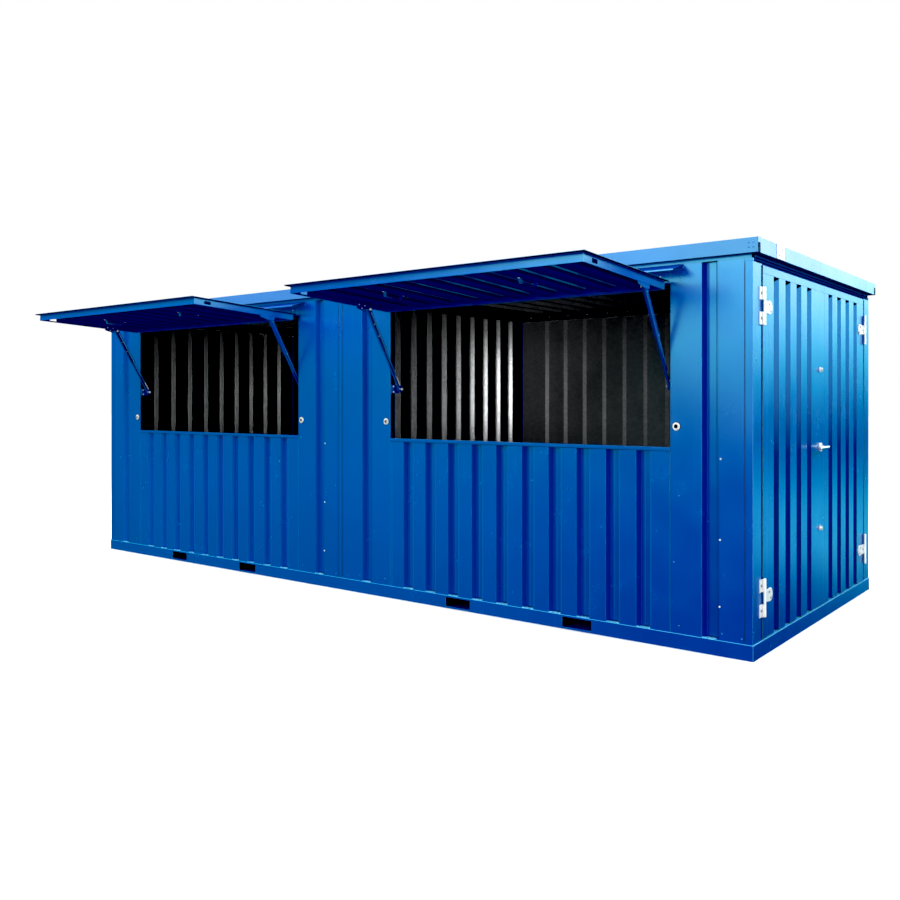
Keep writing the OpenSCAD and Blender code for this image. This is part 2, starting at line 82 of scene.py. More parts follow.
# ------------------------------------------------------------------ node helpers
class Tree:
    """Short names for building a material's node tree."""

    def __init__(self, name):
        self.mat = bpy.data.materials.new(name)
        self.mat.use_nodes = True
        self.t = self.mat.node_tree
        self.t.nodes.clear()
        self.out = self.add("ShaderNodeOutputMaterial")
        self.bsdf = self.add("ShaderNodeBsdfPrincipled")
        self.link(self.bsdf.outputs[0], self.out.inputs[0])
        self.co = self.add("ShaderNodeTexCoord")

    def add(self, kind, **props):
        n = self.t.nodes.new(kind)
        for k, v in props.items():
            setattr(n, k, v)
        return n

    def link(self, a, b):
        self.t.links.new(a, b)

    def put(self, socket, value):
        if isinstance(value, bpy.types.NodeSocket):
            self.link(value, socket)
        else:
            socket.default_value = value

    def math(self, op, a, b=None, c=None, clamp=False):
        n = self.add("ShaderNodeMath", operation=op, use_clamp=clamp)
        for i, v in enumerate((a, b, c)):
            if v is not None:
                self.put(n.inputs[i], v)
        return n.outputs[0]

    def xyz(self, v):
        n = self.add("ShaderNodeSeparateXYZ")
        self.link(v, n.inputs[0])
        return n.outputs

    def scaled(self, v, s):
        n = self.add("ShaderNodeVectorMath", operation="MULTIPLY")
        self.link(v, n.inputs[0])
        n.inputs[1].default_value = s
        return n.outputs[0]

    def noise(self, v, scale, detail=2.0, rough=0.5, distortion=0.0):
        n = self.add("ShaderNodeTexNoise")
        self.link(v, n.inputs["Vector"])
        n.inputs["Scale"].default_value = scale
        n.inputs["Detail"].default_value = detail
        n.inputs["Roughness"].default_value = rough
        n.inputs["Distortion"].default_value = distortion
        return n.outputs["Fac"]

    def voronoi(self, v, scale, out="Distance", feature="F1", rand=1.0):
        n = self.add("ShaderNodeTexVoronoi", feature=feature)
        self.link(v, n.inputs["Vector"])
        n.inputs["Scale"].default_value = scale
        n.inputs["Randomness"].default_value = rand
        return n.outputs[out]

    def ramp(self, v, a, b, lo=0.0, hi=1.0, smooth=True):
        n = self.add("ShaderNodeMapRange", interpolation_type="SMOOTHSTEP" if smooth else "LINEAR")
        self.put(n.inputs["Value"], v)
        n.inputs["From Min"].default_value = a
        n.inputs["From Max"].default_value = b
        n.inputs["To Min"].default_value = lo
        n.inputs["To Max"].default_value = hi
        return n.outputs[0]

    def mix(self, f, a, b, kind="MIX"):
        n = self.add("ShaderNodeMix", data_type="RGBA", blend_type=kind)
        self.put(n.inputs[0], f)
        self.put(n.inputs[6], a)
        self.put(n.inputs[7], b)
        return n.outputs[2]

    def mixf(self, f, a, b):
        n = self.add("ShaderNodeMix", data_type="FLOAT")
        self.put(n.inputs[0], f)
        self.put(n.inputs[2], a)
        self.put(n.inputs[3], b)
        return n.outputs[0]

    def bump(self, height, strength, distance, normal=None):
        n = self.add("ShaderNodeBump")
        self.link(height, n.inputs["Height"])
        n.inputs["Strength"].default_value = strength
        n.inputs["Distance"].default_value = distance
        if normal is not None:
            self.link(normal, n.inputs["Normal"])
        return n.outputs[0]

    def bevel(self, radius, samples=4):
        n = self.add("ShaderNodeBevel", samples=samples)
        n.inputs["Radius"].default_value = radius
        return n.outputs[0]

    def dot(self, a, b):
        n = self.add("ShaderNodeVectorMath", operation="DOT_PRODUCT")
        self.put(n.inputs[0], a)
        self.put(n.inputs[1], b)
        return n.outputs["Value"]

    def ao(self, distance, samples=6):
        n = self.add("ShaderNodeAmbientOcclusion", samples=samples, only_local=False)
        n.inputs["Distance"].default_value = distance
        return n.outputs["AO"]

    def socket(self, name, value):
        self.put(self.bsdf.inputs[name], value)


def c4(c):
    return (c[0], c[1], c[2], 1.0)


BLUE = (0.0, 0.108, 0.41)
BLUE_LIGHT = (0.004, 0.15, 0.50)
BLUE_DARK = (0.0, 0.055, 0.27)
GALV = (0.36, 0.375, 0.385)


def rib_place(t, ribs):
    """Distance from the middle of the nearest groove, and how deep the surface lies in it."""
    axis, origin, pitch, mirror, depth_axis, face, inward = ribs
    p = t.xyz(t.co.outputs["Object"])
    u = t.math("ABSOLUTE", p[axis]) if mirror else p[axis]
    w = t.math("FRACT", t.math("ADD", t.math("DIVIDE", t.math("SUBTRACT", u, origin), pitch), 0.5))
    q = t.math("MULTIPLY", t.math("SUBTRACT", w, 0.5), pitch)
    if mirror:
        q = t.math("MULTIPLY", q, t.math("SIGN", p[axis]))
    if depth_axis is None:
        return q, None
    return q, t.math("MULTIPLY", t.math("SUBTRACT", p[depth_axis], face), inward)


def paint_parts(t, edge=0.0025, wavy=1.0, across=None, ribs=None, one_sided=False, underside=False, shelter=False, ledge=False, rim_fade=False, hard=False):
    """Colour, roughness and normal of the blue coat, with painted light and shade. Folds that face along `across` are
    painted darker as shade.
    """
    p = t.co.outputs["Object"]
    z_ = t.xyz(p)[2]
    big = t.noise(p, 0.9, 2.0)
    streak = t.noise(t.scaled(p, (14.0, 14.0, 0.9)), 1.0, 3.0, 0.6)
    base = t.mix(t.ramp(big, 0.35, 0.68), c4((0.0, 0.020, 0.27)), c4((0.0, 0.027, 0.30)))
    base = t.mix(t.math("MULTIPLY", t.ramp(streak, 0.55, 0.78), 0.08), base, c4((0.0, 0.10, 0.44)))
    t.level = None
    if across is not None or ribs is not None:
        dark = 0.0
        facing = None
        if across is not None:
            facing = t.dot(t.co.outputs["Normal"], across)
            dark = t.ramp(facing if one_sided else t.math("ABSOLUTE", facing), 0.55, 0.80)
        q, deep = rib_place(t, ribs) if ribs is not None else (None, None)
        if one_sided:
            # painted reflection and shade: the folds on the other side are mid blue up high and dark towards the bottom
            other = t.ramp(t.math("ABSOLUTE", facing), 0.55, 0.80)
            high = t.ramp(z_, 1.08, 1.92, smooth=False)
            fold = t.mix(high, c4((0.0, 0.004, 0.14)), c4((0.0, 0.095, 0.34)))
            # thin painted shade along both edges of a fold, and a black wedge of painted shadow under the top band
            rim = t.math("MAXIMUM", t.ramp(deep, 0.0045, 0.0015), t.ramp(deep, 0.0290, 0.0335))
            rim = t.math("MULTIPLY", rim, t.math("SUBTRACT", 0.80, t.math("MULTIPLY", high, 0.75)))
            wedge = t.ramp(t.math("SUBTRACT", z_, t.math("SUBTRACT", 2.066, t.math("MULTIPLY", deep, 0.55))), -0.002, 0.001)
            fold = t.mix(rim, fold, c4((0.0, 0.0, 0.035)))
            fold = t.mix(wedge, fold, c4((0.0, 0.0, 0.0)))
            base = t.mix(other, base, fold)
        if deep is not None:
            inside = t.ramp(deep, 0.020, 0.030)
            # the groove's floor lies in the shade of its near side
            shade = t.math("MULTIPLY", inside, t.ramp(q, -0.006, -0.019))
            dark = t.math("MAXIMUM", dark, t.math("MULTIPLY", shade, 0.85))
            # painted shade: the inside of each groove is darker
            base = t.mix(t.math("MULTIPLY", inside, 0.35), base, c4((0.0, 0.012, 0.21)))
            # painted highlight: thin light lines along each groove's edge and on its floor
            line = t.math("MULTIPLY", t.ramp(t.math("ABSOLUTE", t.math("SUBTRACT", q, 0.0475)), 0.0036, 0.0014), t.ramp(deep, 0.006, 0.003))
            low = t.math("MULTIPLY", t.ramp(t.math("ABSOLUTE", t.math("SUBTRACT", q, -0.004)), 0.0040, 0.0012), inside)
            line = t.math("MAXIMUM", line, t.math("MULTIPLY", low, 0.8))
            if one_sided:
                line = t.math("MULTIPLY", line, t.math("SUBTRACT", 1.0, other))
            if hard:
                # painted shade: the margin grooves get a dark line along the far edge instead
                line = t.math("MULTIPLY", t.ramp(t.math("ABSOLUTE", t.math("SUBTRACT", q, 0.0490)), 0.0072, 0.0045), t.ramp(deep, 0.010, 0.006))
                base = t.mix(t.math("MULTIPLY", line, 0.9), base, c4((0.0, 0.004, 0.19)))
            else:
                base = t.mix(t.math("MULTIPLY", line, 0.28), base, c4((0.01, 0.20, 0.52)))
        elif q is not None:
            # painted highlight: light lines along the rib edges on the underside, patchy in strength, with a painted
            # dark shade line beside each
            away = t.math("ABSOLUTE", q)
            line = t.ramp(t.math("ABSOLUTE", t.math("SUBTRACT", away, 0.0455)), 0.0050, 0.0016)
            patchy = t.ramp(t.noise(t.scaled(p, (3.0, 3.0, 3.0)), 1.0, 2.0), 0.42, 0.62)
            inner = t.ramp(t.xyz(t.co.outputs["Normal"])[2], 0.05, -0.20)
            line = t.math("MULTIPLY", line, inner)
            next_line = t.ramp(t.math("ABSOLUTE", t.math("SUBTRACT", away, 0.0375)), 0.0045, 0.0016)
            base = t.mix(t.math("MULTIPLY", t.math("MULTIPLY", next_line, inner), 0.7), base, c4((0.0, 0.0, 0.02)))
            base = t.mix(t.math("MULTIPLY", line, t.mixf(patchy, 0.25, 0.95)), base, c4((0.03, 0.56, 1.0)))
        if across is not None:
            # painted shade on the folds that face along `across`, painted lighter towards -x and darker towards +x
            flank = t.mix(t.ramp(t.xyz(p)[0], -2.8, 3.1, smooth=False), c4((0.0, 0.080, 0.37)), c4((0.0, 0.014, 0.235)))
            if one_sided:
                flank = c4((0.0, 0.0, 0.22))
            base = t.mix(t.math("MULTIPLY", dark, 0.92), base, flank)
            t.level = t.mixf(dark, 0.5, 0.05)
            if one_sided:
                t.level = t.mixf(dark, t.mixf(other, 0.5, t.math("MULTIPLY", t.mixf(high, 0.02, 0.16), t.math("SUBTRACT", 1.0, wedge))), 0.05)
        if underside:
            below = t.ramp(t.xyz(t.co.outputs["Normal"])[2], -0.05, -0.35)
            t.level = t.mixf(below, 0.5, 0.02)
    if shelter:
        # painted shade: faces inside the walls and under the roof are matt and painted dark
        px, py, _ = t.xyz(p)
        within = t.math("MULTIPLY", t.ramp(t.math("ABSOLUTE", px), 3.0068, 3.0052), t.ramp(t.math("ABSOLUTE", py), 1.1838, 1.1822))
        below = t.math("MULTIPLY", t.ramp(t.xyz(t.co.outputs["Normal"])[2], -0.5, -0.8), t.ramp(z_, 1.9, 2.0))
        dull_and_shaded = t.math("MAXIMUM", within, t.math("MULTIPLY", below, 0.9))
        # painted sheen: the frame's outer faces above the walls are painted lighter, in another tone on the end faces
        face = t.math("MULTIPLY", t.ramp(z_, 2.159, 2.162), t.math("SUBTRACT", 1.0, dull_and_shaded))
        on_end = t.ramp(t.math("ABSOLUTE", t.xyz(t.co.outputs["Normal"])[0]), 0.5, 0.8)
        base = t.mix(t.math("MULTIPLY", face, t.mixf(on_end, 0.8, 0.5)), base, t.mix(on_end, c4((0.065, 0.19, 0.42)), c4((0.07, 0.122, 0.38))))
        step = t.math("MULTIPLY", t.math("MULTIPLY", t.ramp(z_, 2.1185, 2.1195), t.ramp(z_, 2.1605, 2.1595)), t.ramp(t.math("ABSOLUTE", px), 3.005, 3.008))
        step = t.math("MULTIPLY", step, t.ramp(t.math("ABSOLUTE", py), 1.1835, 1.1820))
        # painted shade: the steps over the doors are blue at the top and nearly black below, with black lines of
        # painted shadow between
        steps = t.mix(t.ramp(z_, 2.145, 2.150), t.mix(t.ramp(z_, 2.132, 2.137), c4((0.0, 0.052, 0.36)), c4((0.0, 0.060, 0.40))), c4((0.0, 0.095, 0.48)))
        gap = t.math("MAXIMUM", t.ramp(t.math("ABSOLUTE", t.math("SUBTRACT", z_, 2.1352)), 0.0018, 0.0010), t.ramp(t.math("ABSOLUTE", t.math("SUBTRACT", z_, 2.1482)), 0.0018, 0.0010))
        steps = t.mix(t.math("MAXIMUM", gap, t.ramp(z_, 2.1255, 2.1235)), steps, c4((0.0, 0.0, 0.0)))
        base = t.mix(step, base, steps)
        base = t.mix(t.math("MULTIPLY", dull_and_shaded, 0.96), base, c4((0.0, 0.0, 0.006)))
        plain = t.math("SUBTRACT", 1.0, t.math("MAXIMUM", dull_and_shaded, step))
        t.level = t.mixf(plain, 0.03, t.mixf(face, 0.5, t.mixf(on_end, 0.22, 0.37)))
    if rim_fade:
        # less sheen towards the left end of each hatch
        along = t.math("FRACT", t.math("DIVIDE", t.xyz(p)[0], 3.04))
        t.level = t.ramp(along, 0.15, 0.80, 0.24, 0.52, smooth=False)
    if ledge:
        # painted highlight: a light line along the top edge of the base rail
        top = t.ramp(z_, 0.0815, 0.0840)
        base = t.mix(t.math("MULTIPLY", top, 0.85), base, c4((0.06, 0.44, 0.80)))
    # a few small chips
    spots = t.voronoi(p, 46.0)
    pick = t.noise(p, 19.0, 1.0)
    speck = t.math("MULTIPLY", t.ramp(spots, 0.060, 0.040), t.ramp(pick, 0.75, 0.77))
    if shelter:
        speck = t.math("MULTIPLY", speck, plain)
    base = t.mix(t.math("MULTIPLY", speck, 0.5), base, c4((0.08, 0.34, 0.66)))
    # edges are painted a little lighter: partly a thin worn coat, partly a painted highlight
    soft = t.bevel(edge, 6)
    flat = t.add("ShaderNodeNewGeometry").outputs["Normal"]
    edge_mask = t.ramp(t.dot(soft, flat), 0.99, 0.80)
    if shelter:
        edge_mask = t.math("MULTIPLY", edge_mask, plain)
    if one_sided:
        edge_mask = t.math("MULTIPLY", edge_mask, t.math("SUBTRACT", 1.0, t.math("MULTIPLY", other, 0.9)))
    base = t.mix(t.math("MULTIPLY", edge_mask, 0.55), base, c4((0.01, 0.22, 0.55)))
    rough = t.ramp(t.noise(p, 5.0, 3.0, 0.6), 0.3, 0.75, 0.23, 0.28)
    if underside:
        rough = t.mixf(below, rough, 0.85)
    if shelter:
        rough = t.mixf(plain, 0.95, rough)
    # sheets are never quite flat
    pan = t.noise(t.scaled(p, (2.6, 2.6, 1.25)), 1.0, 1.5, 0.4)
    n = t.bump(pan, 0.45 * wavy, 0.016, soft)
    return base, rough, n, edge_mask


def gloss(t):
    """The coat's own sheen, weaker inside the folds."""
    if t.level is not None:
        t.socket("Specular IOR Level", t.level)
    t.bsdf.inputs["IOR"].default_value = 2.8
    t.bsdf.inputs["Specular Tint"].default_value = (0.22, 0.77, 0.90, 1.0)


def make_blue(name="blue_coat", edge=0.0025, wavy=1.0, deep=0.0, **kinds):
    t = Tree(name)
    base, rough, n, _ = paint_parts(t, edge, wavy, **kinds)
    if deep:
        # painted shade: a darker copy of the coat, darkened by about `deep`, for parts that sit in more light
        base = t.mix(t.ramp(t.noise(t.co.outputs["Object"], 7.0, 2.0), 0.2, 0.8, deep - 0.1, deep + 0.1), base, c4((0.0, 0.0, 0.09)))
        t.level = 0.22
    t.socket("Base Color", base)
    t.socket("Roughness", rough)
    t.socket("Normal", n)
    gloss(t)
    return t.mat


def zinc_parts(t, flats, folds, across, fade=True):
    """Colour, roughness and normal of matt zinc with its crystals, with painted light: flats are painted dark as shade,
    folds bright as a painted highlight.
    """
    p = t.co.outputs["Object"]
    cell = t.voronoi(p, 62.0, "Color")
    tint = t.xyz(cell)[0]
    cloud = t.noise(p, 2.2, 3.0, 0.6)
    turned = t.math("ABSOLUTE", t.dot(t.co.outputs["Normal"], across))
    fold = t.ramp(turned, 0.45, 0.75)
    # painted shade: the bright folds of the walls are painted darker close under the roof
    upper = t.ramp(t.xyz(p)[2], 1.45, 2.05, 0.0, 0.72 if fade else 0.0)
    bright = t.mix(upper, c4([folds * c for c in (0.98, 1.0, 1.01)]), c4([folds * c * 0.25 for c in (0.98, 1.0, 1.01)]))
    grey_ = t.mix(fold, c4([flats * c for c in (0.97, 1.0, 1.02)]), bright)
    base = t.mix(t.math("MULTIPLY", tint, 0.25), grey_, c4((0.02, 0.02, 0.02)))
    base = t.mix(t.math("MULTIPLY", t.ramp(cloud, 0.45, 0.75), 0.25), base, c4((0.01, 0.01, 0.01)))
    rough = t.mixf(fold, t.mixf(tint, 0.40, 0.50), 0.24)
    n = t.bump(tint, 0.05, 0.0003, t.bevel(0.002))
    return base, rough, n


def make_galvanised(name="hot_dip_zinc", flats=0.05, folds=0.75, across=(0, 1, 0), matt=False):
    t = Tree(name)
    base, rough, n = zinc_parts(t, flats, folds, across, not matt)
    t.socket("Base Color", base)
    t.socket("Roughness", t.mixf(0.6, rough, 0.75) if matt else rough)
    t.socket("Normal", n)
    t.bsdf.inputs["Metallic"].default_value = 0.30 if matt else 0.78
    t.bsdf.inputs["Specular IOR Level"].default_value = 0.12
    return t.mat


def make_two_sided(name, outward, across, flats=0.085, folds=0.62, ribs=None, hard=False, sheen=0.25):
    """Blue on the faces that look outward, zinc on those that look inward."""
    t = Tree(name)
    base, rough, n, _ = paint_parts(t, across=across, ribs=ribs, hard=hard)
    zb, zr, zn = zinc_parts(t, flats, folds, across)
    side = t.ramp(t.dot(t.co.outputs["Normal"], outward), -0.20, -0.10, 1.0, 0.0, smooth=False)
    t.socket("Base Color", t.mix(side, base, zb))
    t.socket("Roughness", t.mixf(side, rough, zr))
    t.socket("Metallic", t.math("MULTIPLY", side, sheen))
    t.level = t.mixf(side, t.level if t.level is not None else 0.5, 0.10)
    vec = t.add("ShaderNodeMix", data_type="VECTOR")
    t.link(side, vec.inputs[0])
    t.link(n, vec.inputs[4])
    t.link(zn, vec.inputs[5])
    t.socket("Normal", vec.outputs[1])
    gloss(t)
    t.socket("Specular Tint", t.mix(side, c4((0.22, 0.77, 0.90)), c4((1.0, 1.0, 1.0))))
    return t.mat


def make_bright(name, tone, rough, grain=(30.0, 30.0, 400.0), metallic=0.75):
    t = Tree(name)
    p = t.co.outputs["Object"]
    brushed = t.noise(t.scaled(p, grain), 1.0, 3.0, 0.6)
    cloud = t.noise(p, 38.0, 3.0, 0.6)
    base = t.mix(t.ramp(cloud, 0.35, 0.7), c4([c * 0.86 for c in tone]), c4(tone))
    # painted shade: the base is darker where the occlusion finds creases and neighbouring parts
    occ = t.ao(0.014, 6)
    base = t.mix(t.math("MULTIPLY", t.ramp(occ, 0.85, 0.35), 0.75), base, c4([c * 0.3 for c in tone]))
    t.socket("Base Color", base)
    t.socket("Roughness", t.ramp(brushed, 0.3, 0.7, rough - 0.06, rough + 0.08))
    t.socket("Normal", t.bump(brushed, 0.06, 0.0004, t.bevel(0.0015)))
    t.bsdf.inputs["Metallic"].default_value = metallic
    return t.mat


def make_deck(name="coated_board"):
    t = Tree(name)
    p = t.co.outputs["Object"]
    x, y, _ = t.xyz(p)
    # fine mesh pressed into the film, with board joints every 0.6 m
    mesh = t.voronoi(t.scaled(p, (1.0, 1.0, 0.0)), 210.0, rand=0.0)
    joint = t.math("ABSOLUTE", t.math("SUBTRACT", t.math("FRACT", t.math("DIVIDE", x, 0.608)), 0.5))
    gap = t.ramp(joint, 0.4955, 0.4985)
    wear = t.noise(p, 3.1, 6.0, 0.65)
    base = t.mix(t.ramp(wear, 0.35, 0.75), c4((0.020, 0.015, 0.012)), c4((0.060, 0.048, 0.038)))
    base = t.mix(gap, base, c4((0.004, 0.004, 0.004)))
    t.socket("Base Color", base)
    t.socket("Roughness", t.ramp(wear, 0.3, 0.8, 0.42, 0.65))
    n = t.bump(mesh, 0.35, 0.0008)
    t.socket("Normal", t.bump(t.math("SUBTRACT", 1.0, gap), 0.6, 0.002, n))
    return t.mat


def make_rubber(name="black_rubber"):
    t = Tree(name)
    p = t.co.outputs["Object"]
    dust = t.noise(p, 30.0, 4.0, 0.6)
    t.socket("Base Color", t.mix(t.ramp(dust, 0.45, 0.8), c4((0.002, 0.002, 0.003)), c4((0.009, 0.009, 0.010))))
    t.socket("Roughness", t.ramp(dust, 0.3, 0.7, 0.85, 0.95))
    t.bsdf.inputs["Specular IOR Level"].default_value = 0.05
    t.socket("Normal", t.bump(dust, 0.1, 0.0005))
    return t.mat


def make_lip(name="blue_lip_wear_and_highlight"):
    t = Tree(name)
    p = t.co.outputs["Object"]
    wear_and_highlight = t.noise(p, 55.0, 4.0, 0.6)
    # painted highlight: the lips are coloured pale blue, in patches, to stand for light on the groove feet
    t.socket("Base Color", t.mix(t.ramp(wear_and_highlight, 0.40, 0.66), c4((0.01, 0.26, 0.60)), c4((0.22, 0.66, 0.90))))
    t.socket("Roughness", t.ramp(wear_and_highlight, 0.3, 0.7, 0.28, 0.42))
    t.socket("Normal", t.bump(wear_and_highlight, 0.15, 0.0006))
    return t.mat


def make_seam(name="seam_sealant_and_shade"):
    t = Tree(name)
    p = t.co.outputs["Object"]
    drag = t.noise(t.scaled(p, (60.0, 60.0, 9.0)), 1.0, 3.0, 0.6)
    t.socket("Base Color", t.mix(t.ramp(drag, 0.35, 0.75), c4((0.0, 0.004, 0.055)), c4((0.0, 0.010, 0.11))))
    t.socket("Roughness", t.ramp(drag, 0.3, 0.7, 0.40, 0.60))
    t.socket("Normal", t.bump(drag, 0.25, 0.0004))
    return t.mat


blue = make_blue()
blue_small = make_blue("blue_coat_fittings", 0.0012, 0.15)
blue_stay_shaded = make_blue("blue_coat_stays_shaded", 0.0012, 0.15, deep=0.45)
blue_door = make_blue("blue_coat_door_sheet", across=(0, 1, 0), ribs=(1, 0.225, 0.2005, True, 0, 3.036, -1.0), one_sided=True)
blue_lid = make_blue("blue_coat_hatch_sheet", underside=True, ribs=(0, 1.52 + 0.09825, 0.1965, False, None, 0, 0))
blue_lid_left = make_blue("blue_coat_hatch_sheet_left", underside=True, ribs=(0, -1.52 + 0.09825, 0.1965, False, None, 0, 0))
blue_frame = make_blue("blue_coat_roof_frame", shelter=True)
blue_rail = make_blue("blue_coat_base_rail", ledge=True)
blue_rim = make_blue("blue_coat_hatch_rim", rim_fade=True)
blue_lip = make_lip()
inner_zinc = make_galvanised("zinc_partition", 0.13, 0.94, (0, 1, 0))
roof_zinc = make_galvanised("zinc_roof", 0.17, 0.42, (1, 0, 0), matt=True)
# painted shade: nearly black zinc for the joists, which are seen in the dark of the pockets
joist_zinc_shaded = make_galvanised("zinc_joists_shaded", 0.008, 0.008, (1, 0, 0))
two_front = make_two_sided("coat_front", (0, -1, 0), (1, 0, 0), ribs=(0, 1.52 + 0.09825, 0.1965, False, 1, -1.196, 1.0))
two_margin = make_two_sided("coat_front_margin", (0, -1, 0), (1, 0, 0), ribs=(0, 0.24275, 2.5545, True, 1, -1.196, 1.0), hard=True)
two_front_left = make_two_sided("coat_front_left", (0, -1, 0), (1, 0, 0), ribs=(0, -1.52 + 0.09825, 0.1965, False, 1, -1.196, 1.0))
two_back = make_two_sided("coat_back", (0, 1, 0), (1, 0, 0), flats=0.15, folds=0.80)
two_left = make_two_sided("coat_left", (-1, 0, 0), (0, 1, 0), flats=0.07, folds=0.94, sheen=0.78)
deck = make_deck()
zinc = make_bright("bright_zinc_plate", (0.84, 0.85, 0.86), 0.40, metallic=0.2)
lock_zinc = make_bright("polished_lock_face", (0.98, 0.98, 0.98), 0.45, metallic=0.05)
steel = make_bright("brushed_steel", (0.66, 0.66, 0.65), 0.22, metallic=0.95)
dark_steel = make_bright("dark_steel", (0.10, 0.10, 0.11), 0.40, metallic=0.6)
rubber = make_rubber()


def dress(node, mat):
    o = nodes[node]
    if not o.data.materials:
        o.data.materials.append(mat)
    for i in range(len(o.material_slots)):
        o.material_slots[i].link = "DATA"
        o.material_slots[i].material = mat


for n in nodes:
    dress(n, blue)
for n in ("front_side_panels", "front_lower_left", "front_lower_right"):
    dress(n, two_front)
dress("hatch_locks", lock_zinc)
for n in ("roof_front", "roof_back", "roof_ends", "roof_beam", "front_studs", "mid_posts", "corner_posts", "front_headers", "door_head"):
    dress(n, blue_frame)
for n in ("base_front", "base_back", "base_ends"):
    dress(n, blue_rail)
for n in ("hatch_left_frame", "hatch_right_frame"):
    dress(n, blue_rim)
dress("front_side_panels", two_margin)
dress("front_lower_left", two_front_left)
dress("back_wall", two_back)
dress("left_wall", two_left)
dress("floor_joists", joist_zinc_shaded)
dress("partition", inner_zinc)
dress("roof_sheets", roof_zinc)
for n in ("door_near_skin", "door_far_skin"):
    dress(n, blue_door)
dress("hatch_right_skin", blue_lid)
dress("hatch_left_skin", blue_lid_left)
dress("floor_deck", deck)
for n in ("door_hinge_posts", "roof_joint_plates", "door_near_fittings", "door_far_fittings"):
    dress(n, zinc)
dress("door_handle", steel)
for n in nodes:
    if n.startswith("stay_") and n != "stay_pivots":
        # painted shade: stays 2 and 4 get the darker copy of the coat
        dress(n, blue_stay_shaded if n[5] in "24" else blue_small)
for n in ("hatch_hinges", "stay_pivots", "hatch_left_fittings", "hatch_right_fittings"):
    dress(n, blue_small)

# ------------------------------------------------------------------ small parts
L, WY, EX = 3.04, 1.196, 3.036
BAYS = (-3.04, 0.0)
PITCH = 0.1965
HATCH = (-1.212, 2.052)
POST_W, LEAF_Y, PIN_Y = 0.140, 1.042, 1.049
HINGE_Z = (0.316, 1.893)
OPEN = math.radians(93)


class Kit:
    """Collects many small solids, then makes one object of them."""

    def __init__(self):
        self.v, self.f, self.m = [], [], []
        self.mats = []

    def slot(self, mat):
        if mat not in self.mats:
            self.mats.append(mat)
        return self.mats.index(mat)

    def put(self, shape, at, mat):
        v, f = shape
        k, i = len(self.v), self.slot(mat)
        self.v += [at @ Vector(q) for q in v]
        flip = at.to_3x3().determinant() < 0
        for q in f:
            g = [k + a for a in q]
            self.f.append(g[::-1] if flip else g)
            self.m.append(i)

    def make(self, name, body, angle=32):
        mesh = bpy.data.meshes.new(name)
        mesh.from_pydata(self.v, [], self.f)
        for mat in self.mats:
            mesh.materials.append(mat)
        mesh.polygons.foreach_set("material_index", self.m)
        mesh.polygons.foreach_set("use_smooth", [True] * len(self.f))
        mesh.validate()
        mesh.set_sharp_from_angle(angle=math.radians(angle))
        o = bpy.data.objects.new(name, mesh)
        scene.collection.objects.link(o)
        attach(o, body)
        return o


def lathe(profile, n=20):
    """Solid of revolution about z; the profile runs (r, z) from the bottom to the top and may start or end on the axis.
    A profile that ends where it starts makes a ring."""
    v, f, rings = [], [], []
    ring = profile[0] == profile[-1]
    if ring:
        profile = profile[:-1]
    for r, z in profile:
        if r <= 1e-9:
            rings.append([len(v)])
            v.append((0.0, 0.0, z))
        else:
            rings.append([len(v) + i for i in range(n)])
            v += [(r * math.cos(2 * math.pi * i / n), r * math.sin(2 * math.pi * i / n), z) for i in range(n)]
    for a, b in zip(rings, rings[1:] + rings[:1] if ring else rings[1:]):
        for i in range(n):
            j = (i + 1) % n
            if len(a) == 1:
                f.append((a[0], b[j], b[i]))
            elif len(b) == 1:
                f.append((a[i], a[j], b[0]))
            else:
                f.append((a[i], a[j], b[j], b[i]))
    if not ring:
        if len(rings[0]) > 1:
            f.append(tuple(rings[0][::-1]))
        if len(rings[-1]) > 1:
            f.append(tuple(rings[-1]))
    return v, f


def prism(pts, z0, z1):
    """Upright solid over an anticlockwise outline."""
    n = len(pts)
    v = [(x, y, z0) for x, y in pts] + [(x, y, z1) for x, y in pts]
    f = [tuple(range(n))[::-1], tuple(range(n, 2 * n))]
    f += [(i, (i + 1) % n, n + (i + 1) % n, n + i) for i in range(n)]
    return v, f


def block(x0, x1, y0, y1, z0, z1, c=0.0006):
    """Box with a small chamfer on every edge."""
    bm = bmesh.new()
    bmesh.ops.create_cube(bm, size=1.0)
    for q in bm.verts:
        q.co = ((x0 + x1) / 2 + q.co.x * (x1 - x0), (y0 + y1) / 2 + q.co.y * (y1 - y0), (z0 + z1) / 2 + q.co.z * (z1 - z0))
    c = min(c, 0.3 * min(x1 - x0, y1 - y0, z1 - z0))
    bmesh.ops.bevel(bm, geom=list(bm.edges), offset=c, segments=1, affect="EDGES")
    bm.verts.index_update()
    out = [tuple(q.co) for q in bm.verts], [tuple(a.index for a in g.verts) for g in bm.faces]
    bm.free()
    return out


def turned(axis):
    """Rotation that takes +z to the given direction."""
    return Vector((0, 0, 1)).rotation_difference(Vector(axis)).to_matrix().to_4x4()


def at(x, y, z, axis=(0, 0, 1), turn=0.0):
    return Matrix.Translation((x, y, z)) @ turned(axis) @ Matrix.Rotation(turn, 4, "Z")


SAME = Matrix.Identity(4)
SWUNG = Matrix.Translation((0, HATCH[0], HATCH[1])) @ Matrix.Rotation(-OPEN, 4, "X") @ Matrix.Translation((0, -HATCH[0], -HATCH[1]))


def hexagon(r, z0, z1):
    v, f = prism([(r * math.cos(math.pi * i / 3), r * math.sin(math.pi * i / 3)) for i in range(6)], z0, z1 - 0.0006)
    k = len(v)
    v += [(0.86 * r * math.cos(math.pi * i / 3), 0.86 * r * math.sin(math.pi * i / 3), z1) for i in range(6)]
    f.pop(1)
    f += [(6 + i, 6 + (i + 1) % 6, k + (i + 1) % 6, k + i) for i in range(6)]
    f.append(tuple(range(k, k + 6)))
    return v, f


